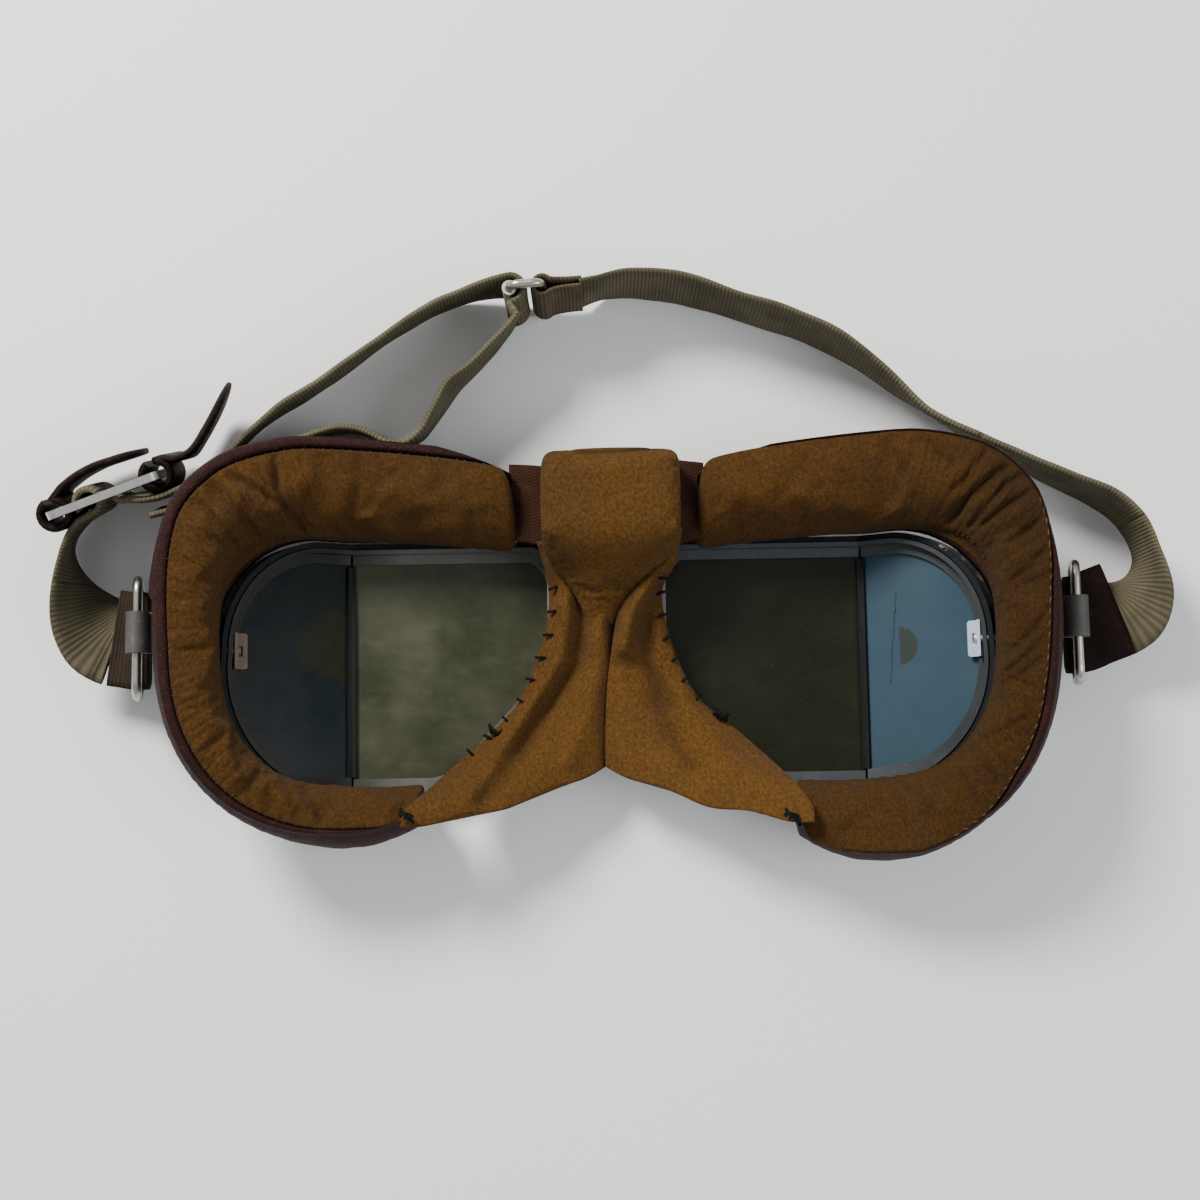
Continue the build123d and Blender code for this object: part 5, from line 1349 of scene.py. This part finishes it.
# %% Stations: x, y, middle height and lean in degrees, which is 90 where a strap stands upright
STRAP_LEFT = (
    (-114.6, -16.2, 9.3, 20), (-117.2, -13.3, 9.4, 42), (-119.4, -9.4, 10.3, 62), (-121.2, -5, 11.1, 80),
    (-122.4, -0.8, 11.2, 93), (-122.8, 2.8, 11.1, 101), (-122.3, 5.6, 11, 103.5), (-120.8, 7.8, 11.6, 103.5),
    (-118.9, 9.5, 12.6, 103.5))
STRAP_OUT = (
    (-104.4, 14.5, 13.3, 103.5), (-100.4, 15.1, 12.8, 103.5), (-96, 17, 12, 103.5), (-91.6, 19.6, 11, 103.5),
    (-87.4, 22.8, 11, 103.3), (-84.2, 26, 11, 103), (-81.2, 29.2, 11.1, 102.4), (-77.8, 32.2, 11.1, 102),
    (-73.6, 35.3, 11.1, 100.7), (-69, 38, 11.1, 99.8), (-64.2, 41, 11.1, 100.2), (-58.4, 45, 11.1, 100.9),
    (-53.8, 48.4, 11.1, 101), (-49.1, 51.7, 11.1, 101.2), (-44.5, 54.7, 11.1, 100.8),
    (-41.2, 56.7, 11.1, 100.3), (-37.7, 58.5, 11.1, 99.3), (-33.3, 60.1, 11.1, 99), (-29.5, 61.2, 12, 98),
    (-25.7, 61.9, 12.8, 96), (-22.6, 62.2, 13.3, 93))
STRAP_BACK = (
    (-20.1, 54.2, 13, 82), (-23.8, 50, 12, 82.8), (-27.1, 46.7, 11.2, 83), (-30.5, 43.2, 11.2, 84),
    (-33.8, 40.2, 11.2, 86), (-36.1, 37.4, 11.2, 87), (-38.1, 34.1, 11.2, 86), (-40.2, 30.8, 11.2, 84.3),
    (-42.1, 28.3, 11.2, 82.6), (-45.2, 26.3, 11.1, 80.6), (-48.4, 26.1, 11.2, 82), (-51.7, 27.7, 11.2, 83.5),
    (-55.2, 29.2, 11.2, 82.8), (-59.5, 29.8, 11.1, 81), (-63.8, 29.3, 11.1, 79.3), (-68.2, 28.2, 11.1, 78.4),
    (-75.4, 26, 11.1, 77.4), (-83, 22, 11, 76.8), (-89.8, 17.6, 11, 76.5), (-95.6, 13.2, 11, 76.5),
    (-102.2, 11, 12.4, 76.5))
STRAP_RIGHT = (
    (-5.0, 60.2, 13.3, 90), (-1, 61.6, 12, 91.5), (1.6, 62.5, 11.1, 90.5), (5, 63, 11.1, 89),
    (9.2, 62.9, 11.1, 88), (16.9, 62, 11.2, 87.2), (23.8, 60, 11.1, 88.6), (32.7, 56.9, 11.1, 89.4),
    (41.6, 53.9, 11.1, 89.2),
    (48.8, 50.9, 11.1, 90), (54.6, 47.7, 11.1, 91.4), (59.7, 44.2, 11.2, 93.2), (64.3, 40.5, 11.2, 96),
    (68.1, 37.2, 11.1, 99.2), (71.6, 34.2, 11.1, 102.2), (75.1, 31.6, 11, 104.6), (80.4, 28.3, 11, 103.2),
    (85.5, 25.4, 11.1, 100.5), (91, 22.3, 11.2, 98), (96.7, 19.3, 11.2, 96.4), (102.3, 16.4, 11.2, 94.2),
    (107.9, 13.8, 11.1, 91.6), (113, 11.4, 11.1, 90.4), (117.2, 8.6, 11.1, 90.6), (120.3, 5.2, 11.1, 91.4),
    (122.4, 1.2, 11.2, 92.6), (123.4, -3, 11.1, 91), (123.1, -6.8, 11.2, 82), (122, -9.8, 10.6, 66),
    (120.3, -12.2, 9.6, 46), (118.3, -13.9, 9.3, 24), (116.4, -14.7, 9.25, 4))
RING_FLAP = ((-112.0, -17.5, 9.25, 4), (-112.8, -17.2, 9.25, 8))
STRAP_WIDTH, STRAP_THICK, STRAP_RIPPLE = 22, 1.9, 0.3
STRAP_COLUMNS, STATION_STEPS = 14, 4
# the four bars of the buckle in the plan, their shared turn, lean and height, and the turn's radius
BUCKLE_TURN, BUCKLE_LEAN = radians(20.3), radians(13.5)
BUCKLE_BARS = ((-123.65, 11.4), (-116.08, 14.2), (-108.52, 17.0), (-100.95, 19.8))
BAR_HEIGHT, BAR_TURN = 13.3, 2.75
UPRIGHT = Vector((0, 0, 1))
print("rows of stations", len(STRAP_LEFT), len(STRAP_OUT), len(STRAP_BACK), len(STRAP_RIGHT))


# %% Helpers that turn a strap round a bar, lean it and give it a skin
SELVEDGE_START, RIM_START = 0.86, 0.995
FLAT_SHARE, RIM_DROP = 0.82, 0.45


def turn_round_bar(index, radius, start, sweep, count):
    """Stations round one of the buckle's bars, as centre and direction across the strap."""
    centre = Vector((*BUCKLE_BARS[index], BAR_HEIGHT))
    along = Vector((cos(BUCKLE_TURN), sin(BUCKLE_TURN), 0))
    rod = Vector((sin(BUCKLE_TURN) * sin(BUCKLE_LEAN), -cos(BUCKLE_TURN) * sin(BUCKLE_LEAN), cos(BUCKLE_LEAN)))
    side_way = rod.cross(along)
    angles = [radians(start + sweep * k / count) for k in range(count + 1)]
    return [(centre + radius * (cos(a) * along + sin(a) * side_way), rod) for a in angles]


def lean_stations(rows, steps=STATION_STEPS):
    """Centres and directions across the strap from rows of place, height and lean."""
    rows = smooth_rows(rows, steps)
    done = []
    for i, (x, y, z, lean) in enumerate(rows):
        before, after = rows[max(i - 1, 0)], rows[min(i + 1, len(rows) - 1)]
        heading = atan2(after[1] - before[1], after[0] - before[0])
        tilt = radians(lean)
        across = Vector((-sin(heading) * cos(tilt), cos(heading) * cos(tilt), sin(tilt)))
        done.append((Vector((x, y, z)), across))
    return done


def half_thickness(thick, edge, selvedge):
    """Half the thickness at a share of the half width: flat, then a selvedge, then a rounded rim."""
    raised = selvedge * sin(pi * min(1, (edge - SELVEDGE_START) / 0.14)) if edge >= SELVEDGE_START else 0
    return thick / 2 * (FLAT_SHARE + raised - (RIM_DROP if edge > RIM_START else 0))


def strap_skin(name, stations, width, thick, finish, selvedge=0.35, ripple=0.0, taper=None, start=0.0,
               part=None):
    """Closed skin over stations, or over part of them, with its run counted from start."""
    first, last = part or (0, len(stations) - 1)
    rings, run, length = [], [], start
    for i in range(first, last + 1):
        centre, across = stations[i]
        before, after = stations[max(i - 1, 0)][0], stations[min(i + 1, len(stations) - 1)][0]
        if i > first:
            length += (centre - stations[i - 1][0]).length
        normal = (after - before).normalized().cross(across).normalized()
        share = taper(i / (len(stations) - 1)) if taper else 1.0
        ring, places = [], []
        for face in (1, -1):
            for k in range(STRAP_COLUMNS + 1):
                v = (k / STRAP_COLUMNS * 2 - 1) * face
                half = half_thickness(thick, abs(v), selvedge)
                wave = ripple * noise.noise(Vector((length * 0.12, v * 0.8, 2.0)))
                point = centre + across * (v * width * share / 2) + normal * (half * face * share ** 0.5 + wave)
                ring.append(metres(*point))
                places.append((length, v * width / 2))
        rings.append(ring)
        run += places
    return finished_piece(name, rings, finish, run), length


# %% The short left strap, the loop through the adjuster, and the long right strap
def webbing_piece(name, stations, first, last, start=0.0, ripple=STRAP_RIPPLE):
    """One piece of a strap, which is cut where it passes from one pair of bodies to the next."""
    return strap_skin(name, stations, STRAP_WIDTH, STRAP_THICK, webbing, ripple=ripple, start=start,
                      part=(first, last))


left_run = lean_stations(RING_FLAP + STRAP_LEFT) + turn_round_bar(1, BAR_TURN, -90, 300, 24)
left_cut = 5 * STATION_STEPS
piece_a, length_a = webbing_piece("short_strap_ring_end", left_run, 0, left_cut, ripple=0.0)
piece_b, length_b = webbing_piece("short_strap_buckle_end", left_run, left_cut, len(left_run) - 1, length_a,
                                  ripple=0.0)
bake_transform(piece_a)
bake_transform(piece_b)
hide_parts("strap_left")
print("left strap", round(length_b, 1), "mm")

ADJUSTER_BAR, ADJUSTER_TURN = Vector((-20.69, 59.04, 0)), 3.05
adjuster_stations = []
for degrees in [90 - k * 11.5 for k in range(17)]:
    a = radians(degrees)
    off_bar = Vector((ADJUSTER_TURN * cos(a), ADJUSTER_TURN * sin(a), BAR_HEIGHT))
    adjuster_stations.append((ADJUSTER_BAR + off_bar, UPRIGHT))
out_run = turn_round_bar(2, BAR_TURN, 210, 60, 6) + lean_stations(STRAP_OUT) + adjuster_stations
loop_cut = len(out_run) - 1
loop_run = out_run + lean_stations(STRAP_BACK)
piece_a, length_a = webbing_piece("loop_strap_out", loop_run, 0, loop_cut)
piece_b, length_b = webbing_piece("loop_strap_back", loop_run, loop_cut, len(loop_run) - 1, length_a)
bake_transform(piece_a)
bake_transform(piece_b)
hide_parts("strap_loop")
print("loop strap", round(length_b, 1), "mm")

right_run = lean_stations(STRAP_RIGHT)
first_cut, second_cut = 17 * STATION_STEPS, 24 * STATION_STEPS
piece_a, length_a = webbing_piece("long_strap_adjuster_end", right_run, 0, first_cut)
piece_b, length_b = webbing_piece("long_strap_middle", right_run, first_cut, second_cut, length_a)
piece_c, length_c = webbing_piece("long_strap_ring_end", right_run, second_cut, len(right_run) - 1, length_b)
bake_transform(piece_a)
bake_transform(piece_b)
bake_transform(piece_c)
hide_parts("strap_right")
print("long strap", round(length_c, 1), "mm")

# %% [markdown]
# ## Ends of the straps
#
# The right end is a dark leather strip, folded round the ring and sewn askew over the
# webbing. The left end is the webbing's own hem. At the adjuster the long strap is turned
# round the free bar and sewn down. Each is one strip bent round its bar.


# %% Folded ends
# steps along each layer and round the bar, and the angle in degrees at which the turn starts
LAYER_STEPS, TURN_STEPS, TURN_START = 8, 22, 28


def folded_end(name, bar, hand, inner, thick, reach, skew, finish, upright=False):
    """Strip folded round a bar, with both layers lying against each other beyond it."""
    radius = inner + thick / 2
    shares = [k / LAYER_STEPS for k in range(LAYER_STEPS + 1)]
    path = [(radius + 0.6 + reach * (1 - t), thick / 2 + 0.05 + 0.3 * t ** 3) for t in shares]
    for k in range(1, TURN_STEPS):
        a = radians(TURN_START + (360 - 2 * TURN_START) * k / TURN_STEPS)
        path.append((radius * cos(a), radius * sin(a)))
    path += [(radius + 0.6 + reach * t, -thick / 2 - 0.05 - 0.3 * (1 - t) ** 3) for t in shares]
    stations = []
    for along, off in path:
        share = max(0, min(1, along / (radius + 1)))
        angle = radians(skew) * share
        if upright:
            place = bar + Vector((along * cos(angle) - off * sin(angle),
                                  along * sin(angle) + off * cos(angle), 0))
            stations.append((place, UPRIGHT))
        else:
            place = bar + Vector((hand * along * cos(angle), along * sin(angle), off))
            stations.append((place, Vector((-hand * sin(angle), cos(angle), 0))))
    return strap_skin(name, stations, STRAP_WIDTH, thick, finish, selvedge=0.1)[0]


end = folded_end("right_leather_end", Vector((106.89, -18.2, 9.25)), 1, inner=1.45, thick=1.5, reach=7.6,
                 skew=20, finish=end_leather)
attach(end, "right_ring")
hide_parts("right_strap_end")
end = folded_end("left_webbing_hem", Vector((-106.89, -18.2, 9.25)), -1, inner=1.45, thick=1.6, reach=2.8,
                 skew=8, finish=soiled_hem)
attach(end, "left_ring")
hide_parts("left_strap_hem")
end = folded_end("adjuster_end", Vector((-13.31, 59.56, BAR_HEIGHT)), 1, inner=1.35, thick=1.6, reach=6.2,
                 skew=4, finish=hem_webbing, upright=True)
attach(end, "adjuster")
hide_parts("adjuster_hem")
print("folded ends made")

# %% Pull tabs: two sewn layers of nearly black leather, tapered to a round tip
TAB_OUTER = ((-122.9, 17), (-119.5, 19.7), (-115.2, 22), (-111, 23.4), (-107, 24.6), (-104.6, 25.2))
TAB_INNER = ((-99, 23.7), (-96.4, 23.6), (-93.8, 24.9), (-91.4, 28.6), (-88.9, 33.2), (-87, 37.2),
             (-85.6, 40.4))
TAB_WIDTH, TAB_THICK, TAB_TURN, TAB_LEAN = 20, 2.2, 3.2, 103.5


def tab_taper(share):
    """Share of the full width: whole for four fifths of the tab, then down to a quarter."""
    return 1 - 0.75 * max(0, (share - 0.8) / 0.2) ** 2.2


def make_tab(name, bar, table):
    """A tab that turns round one of the buckle's bars and runs out along its table."""
    rows = smooth_rows([(x, y, BAR_HEIGHT, TAB_LEAN) for x, y in table], 5)
    stations = turn_round_bar(bar, TAB_TURN, 80, -330, 20)[::-1] + lean_stations(rows, 1)
    return strap_skin(name, stations, TAB_WIDTH, TAB_THICK, tab_leather, selvedge=0.06, taper=tab_taper)


for name, bar, table, body in (("outer_tab_leather", 0, TAB_OUTER, "outer_tab"),
                               ("inner_tab_leather", 3, TAB_INNER, "inner_tab")):
    piece, length = make_tab(name, bar, table)
    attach(piece, body)
    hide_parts("pull_" + ("tab_outer" if bar == 0 else "tab_inner"))
    print(name, round(length, 1), "mm")
